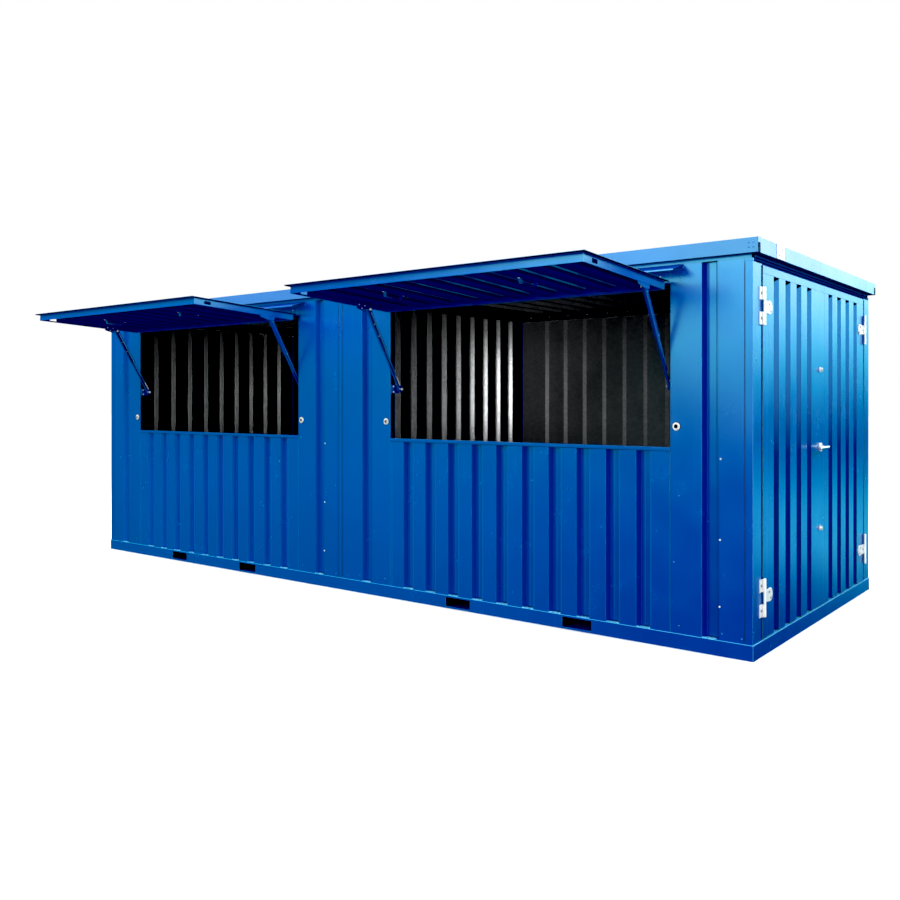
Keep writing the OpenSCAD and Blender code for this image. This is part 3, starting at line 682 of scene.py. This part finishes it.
def button(r, h, hole=0.4):
    """Domed screw head with a socket."""
    return lathe([(r, -0.0004), (r, 0.25 * h), (0.93 * r, 0.62 * h), (0.74 * r, 0.90 * h), (hole * r, h), (hole * r, 0.35 * h), (0.0, 0.35 * h)], 16)


def rivet(r, h):
    return lathe([(r, -0.0004), (r * 0.97, 0.3 * h), (0.78 * r, 0.72 * h), (0.42 * r, 0.96 * h), (0.0, h)], 14)


WASHER = lathe([(0.0085, -0.0004), (0.0085, 0.0008), (0.0078, 0.0016), (0.0050, 0.0022)], 20)
HEAD = hexagon(0.0052, 0.0015, 0.0056)


def roofing_screw(kit, place, head, seal):
    kit.put(WASHER, place, seal)
    kit.put(HEAD, place, head)


# -- fixings in the roof, with the sealing tape over the joint between the bays
kit = Kit()
for m in BAYS:
    for k in range(14):
        x = m + 1.52 + (k - 6.5) * PITCH
        for y in (-1.1165, 1.1165):
            roofing_screw(kit, at(x, y, 2.1861, turn=0.4 * k), zinc, rubber)
for k in range(9):
    y = -1.08 + 0.27 * k
    for x in (-0.021, 0.021):
        roofing_screw(kit, at(x, y, 2.2222, turn=0.7 * k), zinc, rubber)
kit.make("roof_screws", "container")
kit = Kit()
kit.put(block(-0.045, 0.045, -1.170, 1.170, 2.2210, 2.2221, 0.0004), SAME, dark_steel)
kit.make("roof_joint_tape", "container")

# -- toothed foam that closes the ribs over the walls
kit = Kit()
for m in BAYS:
    x0, x1 = (m - 0.018, m + 3.038) if m < 0 else (m + 0.002, m + 3.058)
    x0, x1 = max(x0, -3.018), min(x1, 3.018)
    top = [(x0, 2.2186)]
    for k in range(14):
        x = m + 1.52 + (k - 6.5) * PITCH
        top += [(x - 0.0436, 2.2186), (x - 0.0266, 2.1836), (x + 0.0266, 2.1836), (x + 0.0436, 2.2186)]
    top.append((x1, 2.2186))
    low = [(x, 2.150) for x, _ in top]
    n = len(top)
    for y0, y1 in ((-1.139, -1.1190), (1.1190, 1.139)):
        v = [(x, y0, z) for x, z in low] + [(x, y0, z) for x, z in top] + [(x, y1, z) for x, z in low] + [(x, y1, z) for x, z in top]
        f = []
        for i in range(n - 1):
            f.append((i, i + 1, n + i + 1, n + i))
            f.append((2 * n + i + 1, 2 * n + i, 3 * n + i, 3 * n + i + 1))
            f.append((n + i, n + i + 1, 3 * n + i + 1, 3 * n + i))
            f.append((i + 1, i, 2 * n + i, 2 * n + i + 1))
        f.append((0, n, 3 * n, 2 * n))
        f.append((n - 1, 3 * n - 1, 4 * n - 1, 2 * n - 1))
        kit.put((v, f), SAME, rubber)
for x0, x1 in ((-2.982, -2.962), (2.962, 2.982)):
    kit.put(block(x0, x1, -1.112, 1.112, 2.150, 2.2186, 0.002), SAME, rubber)
# strips that close the slot between the wall tops and the roof frame
kit.put(block(-3.030, 3.030, 1.1857, 1.1955, 2.1203, 2.1585, 0.001), SAME, rubber)
kit.put(block(-3.0355, -3.0257, -1.05, 1.05, 2.1203, 2.1585, 0.001), SAME, rubber)
kit.make("rib_fillers", "container")

# -- screws in the walls and along the foot
kit = Kit()
for m in BAYS:
    for side in (-1, 1):
        for dx, z in ((1.340, 1.066), (1.336, 0.628), (1.334, 0.266), (1.100, 0.851), (1.070, 0.480), (1.100, 0.128), (1.346, 0.122), (1.456, 0.110)):
            kit.put(button(0.0052, 0.0024), at(m + 1.52 + side * dx, -WY - 0.0001, z, (0, -1, 0)), zinc if side > 0 and 1.33 < dx < 1.341 else blue_small)
    for k in range(15):
        x = m + 1.52 + (k - 7) * PITCH
        for z in (0.118, 1.10, 2.09):
            kit.put(button(0.0052, 0.0024), at(max(min(x, m + 2.985), m + 0.03), WY + 0.0001, z, (0, 1, 0)), blue_small)
for k in range(11):
    y = (k - 5) * 0.1965
    for z in (0.118, 1.10, 2.09):
        kit.put(button(0.0052, 0.0024), at(-EX - 0.0001, max(min(y, 1.03), -1.03), z, (-1, 0, 0)), blue_small)
kit.make("wall_screws", "container")

# -- screws in the roof frame
kit = Kit()
for x in (3.026, 3.050):
    for z in (2.190, 2.214):
        for sx in (-1, 1):
            kit.put(button(0.0050, 0.0022), at(sx * x, -1.2281, z, (0, -1, 0)), blue_small)
for m in BAYS:
    for k in range(15):
        x = m + 1.52 + (k - 7) * PITCH
        if m + 0.05 < x < m + 2.95:
            for sy in (-1, 1):
                kit.put(rivet(0.0062, 0.0030), at(x, sy * 1.1149, 2.150, (0, -sy, 0)), zinc)
for y in (-0.848, -0.897):
    for z in (2.180, 2.222):
        for sx in (-1, 1):
            kit.put(button(0.0046, 0.0016, 0.5), at(3.0770 if sx > 0 else -3.0756, y, z, (sx, 0, 0)), dark_steel)
kit.make("frame_screws", "container")

# -- black plugs behind the slots at the corners of the roof frame, which stand in for the shade inside the slots
kit = Kit()
for sx in (-1, 1):
    for sy in (-1, 1):
        x0, x1 = sorted((sx * 3.0700, sx * 3.0719))
        y0, y1 = sorted((sy * 1.2247, sy * 1.1975))
        kit.put(block(x0, x1, y0, y1, 2.1632, 2.2085, 0.0004), SAME, rubber)
        # thin black collar of the plug on the face round the slot, painted shade that widens the dark of the slot
        x0, x1 = sorted((sx * 3.07505, sx * 3.0758))
        for ya, yb, za, zb in ((1.2274, 1.2232, 2.1600, 2.2120), (1.1998, 1.1935, 2.1600, 2.2120), (1.2231, 1.1999, 2.1600, 2.1634), (1.2231, 1.1999, 2.2066, 2.2120)):
            y0, y1 = sorted((sy * ya, sy * yb))
            kit.put(block(x0, x1, y0, y1, za, zb, 0.0002), SAME, rubber)
kit.make("corner_slot_shade_plugs", "container")

# -- sealed seams between posts and sheets
kit = Kit()
sealant_and_shade = make_seam()
for x in (-0.0435, 0.0005, EX - 0.0435, -EX + 0.0435):
    for sy in (-1, 1):
        kit.put(block(x - 0.0026, x + 0.0026, min(sy * WY, sy * (WY + 0.0008)), max(sy * WY, sy * (WY + 0.0008)), 0.087, 2.118, 0.0003), SAME, sealant_and_shade)
for sy in (-1, 1):
    y = sy * (WY - POST_W - 0.0005)
    kit.put(block(-EX - 0.0008, -EX, y - 0.0026, y + 0.0026, 0.087, 2.118, 0.0003), SAME, sealant_and_shade)
for m in BAYS:
    kit.put(block(m + 0.472, m + 2.568, -WY - 0.0008, -WY, 1.0965, 1.1010, 0.0003), SAME, sealant_and_shade)
kit.make("sealed_seams", "container")

# -- lips that close the feet of the grooves, painted pale as a highlight, with a dark strip of painted shade over each
kit = Kit()


def foot_lip(kit, place):
    """One lip in the groove's own frame: x along the wall, y into it."""
    out = [(-0.0420, -0.0005), (0.0420, -0.0005), (0.0262, 0.0325), (-0.0262, 0.0325)]
    kit.put(prism(out, 0.0853, 0.0876), place, blue_lip)
    arc = [(-0.040 + 0.010 * i, -0.0010 - 0.0026 * math.sin(math.pi * i / 8)) for i in range(9)]
    kit.put(prism(arc + [(0.040, 0.0030), (-0.040, 0.0030)], 0.0853, 0.0915), place, blue_lip)
    # painted shade: a dark strip across the groove's floor just above the lip
    kit.put(prism([(-0.0255, 0.0300), (0.0255, 0.0300), (0.0255, 0.0330), (-0.0255, 0.0330)], 0.0877, 0.0950), place, sealant_and_shade)


for m in BAYS:
    grooves = [m + 1.52 + (k - 4.5) * PITCH for k in range(10)] + [m + 1.52 - 6.5 * PITCH, m + 1.52 + 6.5 * PITCH]
    for c in grooves:
        foot_lip(kit, Matrix.Translation((c, -WY, 0)))
    for k in range(14):
        foot_lip(kit, Matrix.Translation((m + 1.52 + (k - 6.5) * PITCH, WY, 0)) @ Matrix.Rotation(math.pi, 4, "Z"))
kit.make("groove_lips", "container")

# -- floors of the forklift pockets
kit = Kit()
for x in (-1.97, -1.07, 1.07, 1.97):
    kit.put(block(x - 0.098, x + 0.098, -1.1958, 1.1958, 0.0034, 0.0060, 0.0004), SAME, blue_small)
    for s in (-1, 1):
        x0, x1 = sorted((x + s * 0.1005, x + s * 0.1035))
        # painted shade: the sides of the pockets use the nearly black zinc
        kit.put(block(x0, x1, -1.1235, 1.1235, 0.0034, 0.0655, 0.0004), SAME, joist_zinc_shaded)
kit.make("fork_pocket_plates", "container")

# -- black seals round the doors, which also stand in for the shade in the door gap
kit = Kit()
for sy in (-1, 1):
    y0, y1 = sorted((sy * (WY - POST_W + 0.0120), sy * (WY - POST_W + 0.0004)))
    for z0, z1 in ((0.094, 0.2135), (0.4185, 1.7905), (1.9955, 2.112)):
        kit.put(block(EX - 0.001, EX + 0.0014, y0, y1, z0, z1, 0.0005), SAME, rubber)
for sy in (-1, 1):
    # painted shade: a black strip deep in the gap between door and post
    y0, y1 = sorted((sy * (WY - POST_W - 0.0003), sy * (LEAF_Y + 0.0012)))
    kit.put(block(3.010, 3.024, y0, y1, 0.094, 2.112, 0.001), SAME, rubber)
kit.make("door_gap_seals_and_shade", "container")

# -- hinge screws, door side and post side
for name, sy in (("near", -1), ("far", 1)):
    kit = Kit()
    for z in HINGE_Z:
        for dy, dz in ((0.026, 0.0), (0.086, 0.017), (0.112, -0.019)):
            kit.put(button(0.0068, 0.0026, 0.5), at(EX + 0.0040, sy * (LEAF_Y - dy), z + dz, (1, 0, 0)), dark_steel)
            kit.put(lathe([(0.0088, -0.0003), (0.0088, 0.0006), (0.0070, 0.0009)], 20), at(EX + 0.0040, sy * (LEAF_Y - dy), z + dz, (1, 0, 0)), zinc)
    if sy < 0:
        for dy, dz in ((0.019, 0.0), (-0.019, 0.0)):
            kit.put(button(0.0034, 0.0016), at(EX + 0.0100, -0.008 + dy, 1.090 + dz, (1, 0, 0)), dark_steel)
        for z in (0.58, 1.578):
            kit.put(lathe([(0.0046, -0.0004), (0.0046, 0.0009), (0.0036, 0.0013), (0.0030, 0.0004), (0.0, 0.0004)], 20), at(EX + 0.0160, -0.008, z, (1, 0, 0)), dark_steel)
            kit.put(block(-0.0060, 0.0060, -0.0009, 0.0009, 0.0002, 0.0014, 0.0002), at(EX + 0.0160, -0.008, z, (1, 0, 0)), rubber)
    kit.make("hinge_screws_" + name, "door_" + name)
kit = Kit()
for sy in (-1, 1):
    for z in HINGE_Z:
        for dz in (-0.0675, 0.0675):
            kit.put(button(0.0068, 0.0026, 0.5), at(EX + 0.0040, sy * (WY - POST_W + 0.022), z + dz, (1, 0, 0)), dark_steel)
            # pin heads of the hinge
            kit.put(rivet(0.0076, 0.0034), at(EX + 0.012, sy * PIN_Y, z + (0.102 if dz > 0 else -0.102), (0, 0, 1 if dz > 0 else -1)), zinc)
kit.make("hinge_screws_posts", "container")

# -- lock discs: gasket ring, rim screws and the dark key slot
kit = Kit()
for m in BAYS:
    for x in (m + 0.434, m + 2.606):
        place = at(x, -WY - 0.0001, 1.238, (0, -1, 0))
        kit.put(lathe([(0.0222, 0.0), (0.0252, 0.0), (0.0252, 0.0014), (0.0240, 0.0024), (0.0226, 0.0024), (0.0222, 0.0)], 40), place, rubber)
        kit.put(block(-0.0019, 0.0019, -0.0069, 0.0069, 0.0051, 0.0056, 0.0001), place, rubber)
        kit.put(lathe([(0.0128, 0.0079), (0.0132, 0.0079), (0.0132, 0.0086), (0.0126, 0.0090), (0.0118, 0.0090), (0.0114, 0.0079)], 36), place, zinc)
        for a in (0.9, 3.0, 5.1):
            kit.put(button(0.0021, 0.0012), at(x + 0.0186 * math.cos(a), -WY - 0.0040, 1.238 + 0.0186 * math.sin(a), (0, -1, 0)), dark_steel)
kit.make("lock_details", "container")

# -- hatch hinge screws, on the wall and on the hatches
kit = Kit()
for m in BAYS:
    for k in range(11):
        kit.put(button(0.0058, 0.0024), at(m + 0.47 + 0.06 + 0.198 * k, -WY - 0.0030, 2.0785, (0, -1, 0)), zinc)
    for x, s in ((m + 0.503, -1), (m + 2.537, 1)):
        # plate of the lower pin: two bolts and the dome nut
        for dz in (-0.019, 0.019):
            kit.put(rivet(0.0058, 0.0032), at(x + s * 0.0270, -1.166, 1.465 + dz, (-s, 0, 0)), zinc)
        kit.put(lathe([(0.0092, 0.0), (0.0092, 0.0012), (0.0072, 0.0014), (0.0072, 0.0052), (0.0058, 0.0086), (0.0030, 0.0102), (0.0, 0.0106)], 20), at(x - s * 0.0120, -1.125, 1.465, (-s, 0, 0)), zinc)
kit.make("hatch_fixings_wall", "container")
for name, m in (("left", BAYS[0]), ("right", BAYS[1])):
    kit = Kit()
    for i in range(5):
        x = m + 0.47 + 0.080 + 0.388 * i + 0.194
        for dx in (-0.13, 0.0, 0.13):
            kit.put(rivet(0.0050, 0.0024), SWUNG @ at(x + dx, HATCH[0] - 0.0010, HATCH[1] - 0.015, (0, -1, 0)), zinc)
    for x in (m + 1.52 - 2.5 * PITCH, m + 1.52 + 2.5 * PITCH):
        for z in (0.490, 0.670):
            kit.put(button(0.0062, 0.0028), SWUNG @ at(x, -WY - 0.012 + 0.037 + 0.004, HATCH[1] - z, (0, 1, 0)), zinc)
    # stay plates: two rivets each
    for x, s in ((m + 0.492, 1), (m + 2.548, -1)):
        for b, a in ((0.040, 0.262), (0.040, 0.318), (0.062, 0.290)):
            kit.put(rivet(0.0048, 0.0024), SWUNG @ at(x, HATCH[0] + b, HATCH[1] - a, (s, 0, 0)), zinc)
    # rubber lip inside the flange
    y0, y1 = -1.206, -1.2015
    for q in ((m + 0.4645, m + 0.4725, 1.098, 2.040), (m + 2.5675, m + 2.5755, 1.098, 2.040), (m + 0.4645, m + 2.5755, 1.0945, 1.1025)):
        kit.put(block(q[0], q[1], y0, y1, q[2], q[3], 0.0012), SWUNG, rubber)
    kit.make("hatch_fixings_" + name, "hatch_" + name)

# -- stays: bright rod, collars and ends of each gas spring
LEAN, LONG = math.radians(31.158), 0.62798
for i, (x, s) in enumerate(((-3.04 + 0.503, 1), (-0.503, -1), (0.503, 1), (2.537, -1))):
    low = Matrix.Translation((x, -1.125, 1.465)) @ Matrix.Rotation(LEAN, 4, "X")
    kit = Kit()
    kit.put(lathe([(0.0, 0.0255), (0.0066, 0.0255), (0.0066, 0.0300), (0.0052, 0.0320), (0.00432, 0.0324), (0.00432, 0.0960), (0.0, 0.0970)], 24), low @ Matrix.Translation((0, 0.010, 0)), steel)
    kit.put(lathe([(0.0, 0.0972), (0.0041, 0.0972), (0.00432, 0.0980), (0.00432, 0.3170), (0.0, 0.3185)], 24), low @ Matrix.Translation((0, 0.010, 0)), blue_small)
    kit.put(rivet(0.0050, 0.0026), low @ at(-0.0001 - s * -0.0080, -0.011, 0.010, (s, 0, 0)), zinc)
    kit.make("stay_%d_rod_fittings" % (i + 1), "stay_%d_lower" % (i + 1))
    kit = Kit()
    up = low @ Matrix.Translation((0, 0, LONG))
    g = up @ Matrix.Translation((0, 0.010, 0))
    kit.put(lathe([(0.0066, -0.3150), (0.0086, -0.3150), (0.0090, -0.3135), (0.0090, -0.3045), (0.0080, -0.3020), (0.0066, -0.3020), (0.0066, -0.3150)], 24), g, blue_small)
    kit.put(lathe([(0.0078, -0.0440), (0.0084, -0.0440), (0.0090, -0.0425), (0.0090, -0.0365), (0.0084, -0.0350), (0.0078, -0.0350), (0.0078, -0.0440)], 24), g, blue_small)
    # round head of the upper pin
    kit.put(lathe([(0.0080, -0.0006), (0.0098, 0.0006), (0.0104, 0.0030), (0.0094, 0.0060), (0.0066, 0.0084), (0.0032, 0.0096), (0.0, 0.0100)], 24), up @ at(s * 0.0150, 0, 0, (s, 0, 0)), zinc)
    for z in (-0.110, -0.200):
        kit.put(rivet(0.0040, 0.0022), up @ at(s * 0.0080, -0.011, z, (s, 0, 0)), zinc)
    kit.make("stay_%d_tube_fittings" % (i + 1), "stay_%d_upper" % (i + 1))

# ------------------------------------------------------------------ stage
floor_mesh = bpy.data.meshes.new("floor")
R = 90.0
floor_mesh.from_pydata([(-R, -R, 0), (R, -R, 0), (R, R, 0), (-R, R, 0)], [], [(0, 1, 2, 3)])
floor = bpy.data.objects.new("floor", floor_mesh)
scene.collection.objects.link(floor)
ft = Tree("pale_floor")
fn = ft.noise(ft.co.outputs["Object"], 1.4, 3.0)
pale = ft.mix(fn, c4((0.80, 0.80, 0.80)), c4((0.84, 0.84, 0.84)))
ft.bsdf.inputs["Roughness"].default_value = 0.9
ft.bsdf.inputs["Specular IOR Level"].default_value = 0.1
ft.bsdf.inputs["Emission Color"].default_value = (1, 1, 1, 1)
fx_, fy_, _ = ft.xyz(ft.co.outputs["Object"])
apart = ft.math("MAXIMUM", ft.math("SUBTRACT", ft.math("ABSOLUTE", fx_), HALF_L), ft.math("SUBTRACT", ft.math("ABSOLUTE", fy_), HALF_W))
# painted shadow: the floor is nearly black well under the object, and its glow fades out at the object's edge
ft.socket("Base Color", ft.mix(ft.ramp(apart, -0.020, -0.060), pale, c4((0.015, 0.015, 0.017))))
ft.socket("Emission Strength", ft.ramp(apart, -0.01, 0.10, 0.0, 0.5))
floor_mesh.materials.append(ft.mat)
floor.visible_diffuse = False
floor.visible_glossy = False

world = bpy.data.worlds.new("studio")
scene.world = world
world.use_nodes = True
wt = world.node_tree
wt.nodes.clear()


def wadd(kind, **props):
    n = wt.nodes.new(kind)
    for k, v in props.items():
        setattr(n, k, v)
    return n


w_out = wadd("ShaderNodeOutputWorld")
w_co = wadd("ShaderNodeTexCoord")
w_sep = wadd("ShaderNodeSeparateXYZ")
wt.links.new(w_co.outputs["Generated"], w_sep.inputs[0])
w_map = wadd("ShaderNodeMapRange")
w_map.inputs["From Min"].default_value = -1
w_map.inputs["From Max"].default_value = 1
wt.links.new(w_sep.outputs[2], w_map.inputs["Value"])


def sky(steps, strength):
    """A light that changes only with height above the horizon: (sine of elevation, colour)."""
    r = wadd("ShaderNodeValToRGB")
    wt.links.new(w_map.outputs[0], r.inputs[0])
    ramp = r.color_ramp
    ramp.interpolation = "LINEAR"
    while len(ramp.elements) < len(steps):
        ramp.elements.new(0.5)
    for e, (h, c) in zip(ramp.elements, steps):
        e.position = (h + 1) / 2
        e.color = (c[0], c[1], c[2], 1)
    bg = wadd("ShaderNodeBackground")
    wt.links.new(r.outputs[0], bg.inputs[0])
    bg.inputs[1].default_value = strength
    return bg


def grey(v, tint=(1.0, 1.0, 1.0)):
    return [v * c for c in tint]


# what polished faces mirror: dark ground, a dark horizon and a bright sky, with a pale strip of ground behind
before = sky([(-1.0, (0.04, 0.05, 0.07)), (-0.45, (0.04, 0.05, 0.07)), (-0.28, (0.0, 0.0, 0.004)), (-0.16, (0.0, 0.015, 0.03)),
              (-0.10, (0.0, 0.035, 0.05)), (-0.05, (0.0, 0.02, 0.03)), (-0.01, (0.0, 0.06, 0.10)), (0.02, (0.0, 0.20, 0.26)),
              (0.05, (0.03, 0.50, 0.54)), (0.09, (0.34, 0.82, 0.86)), (0.13, (0.80, 0.94, 0.98)),
              (0.21, (1.0, 1.0, 1.0)), (1.0, (0.90, 0.92, 0.96))], 3.8)
behind = sky([(-1.0, (0.04, 0.05, 0.07)), (-0.45, (0.04, 0.05, 0.07)), (-0.30, (0.0, 0.004, 0.01)), (-0.20, (0.0, 0.01, 0.02)),
              (-0.178, (0.003, 0.06, 0.10)), (-0.150, (0.05, 0.36, 0.46)), (-0.122, (0.05, 0.38, 0.48)),
              (-0.096, (0.02, 0.27, 0.36)), (-0.070, (0.003, 0.12, 0.18)), (-0.052, (0.0, 0.03, 0.05)),
              (-0.026, (0.0, 0.03, 0.05)), (0.0, (0.0, 0.14, 0.20)), (0.035, (0.0, 0.34, 0.42)),
              (0.070, (0.10, 0.58, 0.64)), (0.105, (0.52, 0.88, 0.94)), (0.14, (0.88, 0.96, 1.0)),
              (0.21, (1.0, 1.0, 1.0)), (1.0, (0.90, 0.92, 0.96))], 3.8)
beside = sky([(-1.0, (0.20, 0.20, 0.21)), (-0.40, (0.40, 0.40, 0.41)), (-0.20, (0.85, 0.85, 0.85)), (0.30, (0.95, 0.95, 0.95)),
              (0.5, (0.95, 0.95, 0.95)), (1.0, (0.90, 0.92, 0.96))], 3.8)
faded = sky([(-1.0, (0.04, 0.05, 0.07)), (-0.45, (0.02, 0.05, 0.07)), (-0.28, (0.0, 0.07, 0.08)), (-0.16, (0.0, 0.10, 0.12)),
             (-0.05, (0.0, 0.115, 0.14)), (0.0, (0.0, 0.12, 0.15)), (0.05, (0.0, 0.135, 0.17)), (0.10, (0.0, 0.14, 0.18)),
             (0.20, (0.0, 0.16, 0.20)), (0.36, (0.14, 0.40, 0.46)), (1.0, (0.60, 0.66, 0.70))], 3.8)
w_left = wadd("ShaderNodeMapRange", interpolation_type="SMOOTHSTEP")
w_left.inputs["From Min"].default_value = -0.38
w_left.inputs["From Max"].default_value = -0.62
wt.links.new(w_sep.outputs[0], w_left.inputs["Value"])
left_mix = wadd("ShaderNodeMixShader")
wt.links.new(w_left.outputs[0], left_mix.inputs[0])
wt.links.new(before.outputs[0], left_mix.inputs[1])
wt.links.new(faded.outputs[0], left_mix.inputs[2])
w_side = wadd("ShaderNodeMapRange", interpolation_type="SMOOTHSTEP")
w_side.inputs["From Min"].default_value = 0.08
w_side.inputs["From Max"].default_value = 0.26
wt.links.new(w_sep.outputs[0], w_side.inputs["Value"])
front_mix = wadd("ShaderNodeMixShader")
wt.links.new(w_side.outputs[0], front_mix.inputs[0])
wt.links.new(left_mix.outputs[0], front_mix.inputs[1])
wt.links.new(beside.outputs[0], front_mix.inputs[2])
w_turn = wadd("ShaderNodeMapRange", interpolation_type="SMOOTHSTEP")
w_turn.inputs["From Min"].default_value = -0.25
w_turn.inputs["From Max"].default_value = 0.25
wt.links.new(w_sep.outputs[1], w_turn.inputs["Value"])
mirrored = wadd("ShaderNodeMixShader")
wt.links.new(w_turn.outputs[0], mirrored.inputs[0])
wt.links.new(front_mix.outputs[0], mirrored.inputs[1])
wt.links.new(behind.outputs[0], mirrored.inputs[2])
soft_fill = sky([(-1.0, grey(0.12)), (-0.05, grey(0.26)), (0.08, grey(0.55)), (1.0, grey(1.0))], 0.72)
backdrop = wadd("ShaderNodeBackground")
backdrop.inputs[0].default_value = (1, 1, 1, 1)
backdrop.inputs[1].default_value = 1.0
w_path = wadd("ShaderNodeLightPath")
w_a = wadd("ShaderNodeMixShader")
wt.links.new(w_path.outputs["Is Glossy Ray"], w_a.inputs[0])
wt.links.new(soft_fill.outputs[0], w_a.inputs[1])
wt.links.new(mirrored.outputs[0], w_a.inputs[2])
w_b = wadd("ShaderNodeMixShader")
wt.links.new(w_path.outputs["Is Camera Ray"], w_b.inputs[0])
wt.links.new(w_a.outputs[0], w_b.inputs[1])
wt.links.new(backdrop.outputs[0], w_b.inputs[2])
wt.links.new(w_b.outputs[0], w_out.inputs[0])


def softbox(name, place, aim, size, power):
    """A long soft panel, which lights the object and isn't seen itself."""
    d = bpy.data.lights.new(name, "AREA")
    d.shape = "RECTANGLE"
    d.size, d.size_y = size
    d.energy = power
    o = bpy.data.objects.new(name, d)
    scene.collection.objects.link(o)
    o.location = place
    o.rotation_euler = (Vector(aim) - Vector(place)).to_track_quat("-Z", "Y").to_euler()
    o.visible_camera = False
    o.visible_glossy = False
    return o


softbox("front_box", (-0.9, -4.6, 4.3), (-0.9, -1.2, 1.3), (9.0, 1.6), 270)
softbox("low_box", (6.5, -8.0, 1.55), (-1.0, 0.0, 1.45), (5.0, 2.0), 355)
softbox("low_left_box", (-5.5, -8.5, 1.5), (-1.8, -1.2, 1.2), (5.0, 2.0), 190)
softbox("right_box", (6.6, 0.0, 4.2), (3.04, 0.0, 1.3), (5.0, 1.6), 240)
softbox("back_box", (0.0, 4.6, 4.3), (0.0, 1.2, 1.3), (9.0, 1.6), 330)
softbox("left_box", (-6.6, 0.0, 4.2), (-3.04, 0.0, 1.3), (5.0, 1.6), 220)
softbox("top_box", (0.0, 0.0, 6.5), (0.0, 0.0, 2.0), (8.0, 5.0), 300)

scene.view_settings.view_transform = "Standard"
scene.view_settings.look = "None"
scene.view_settings.exposure = 0.0
scene.view_settings.gamma = 1.0
scene.view_settings.use_curve_mapping = True
curves = scene.view_settings.curve_mapping
curves.black_level = (0.011, 0.011, 0.011)
curves.update()
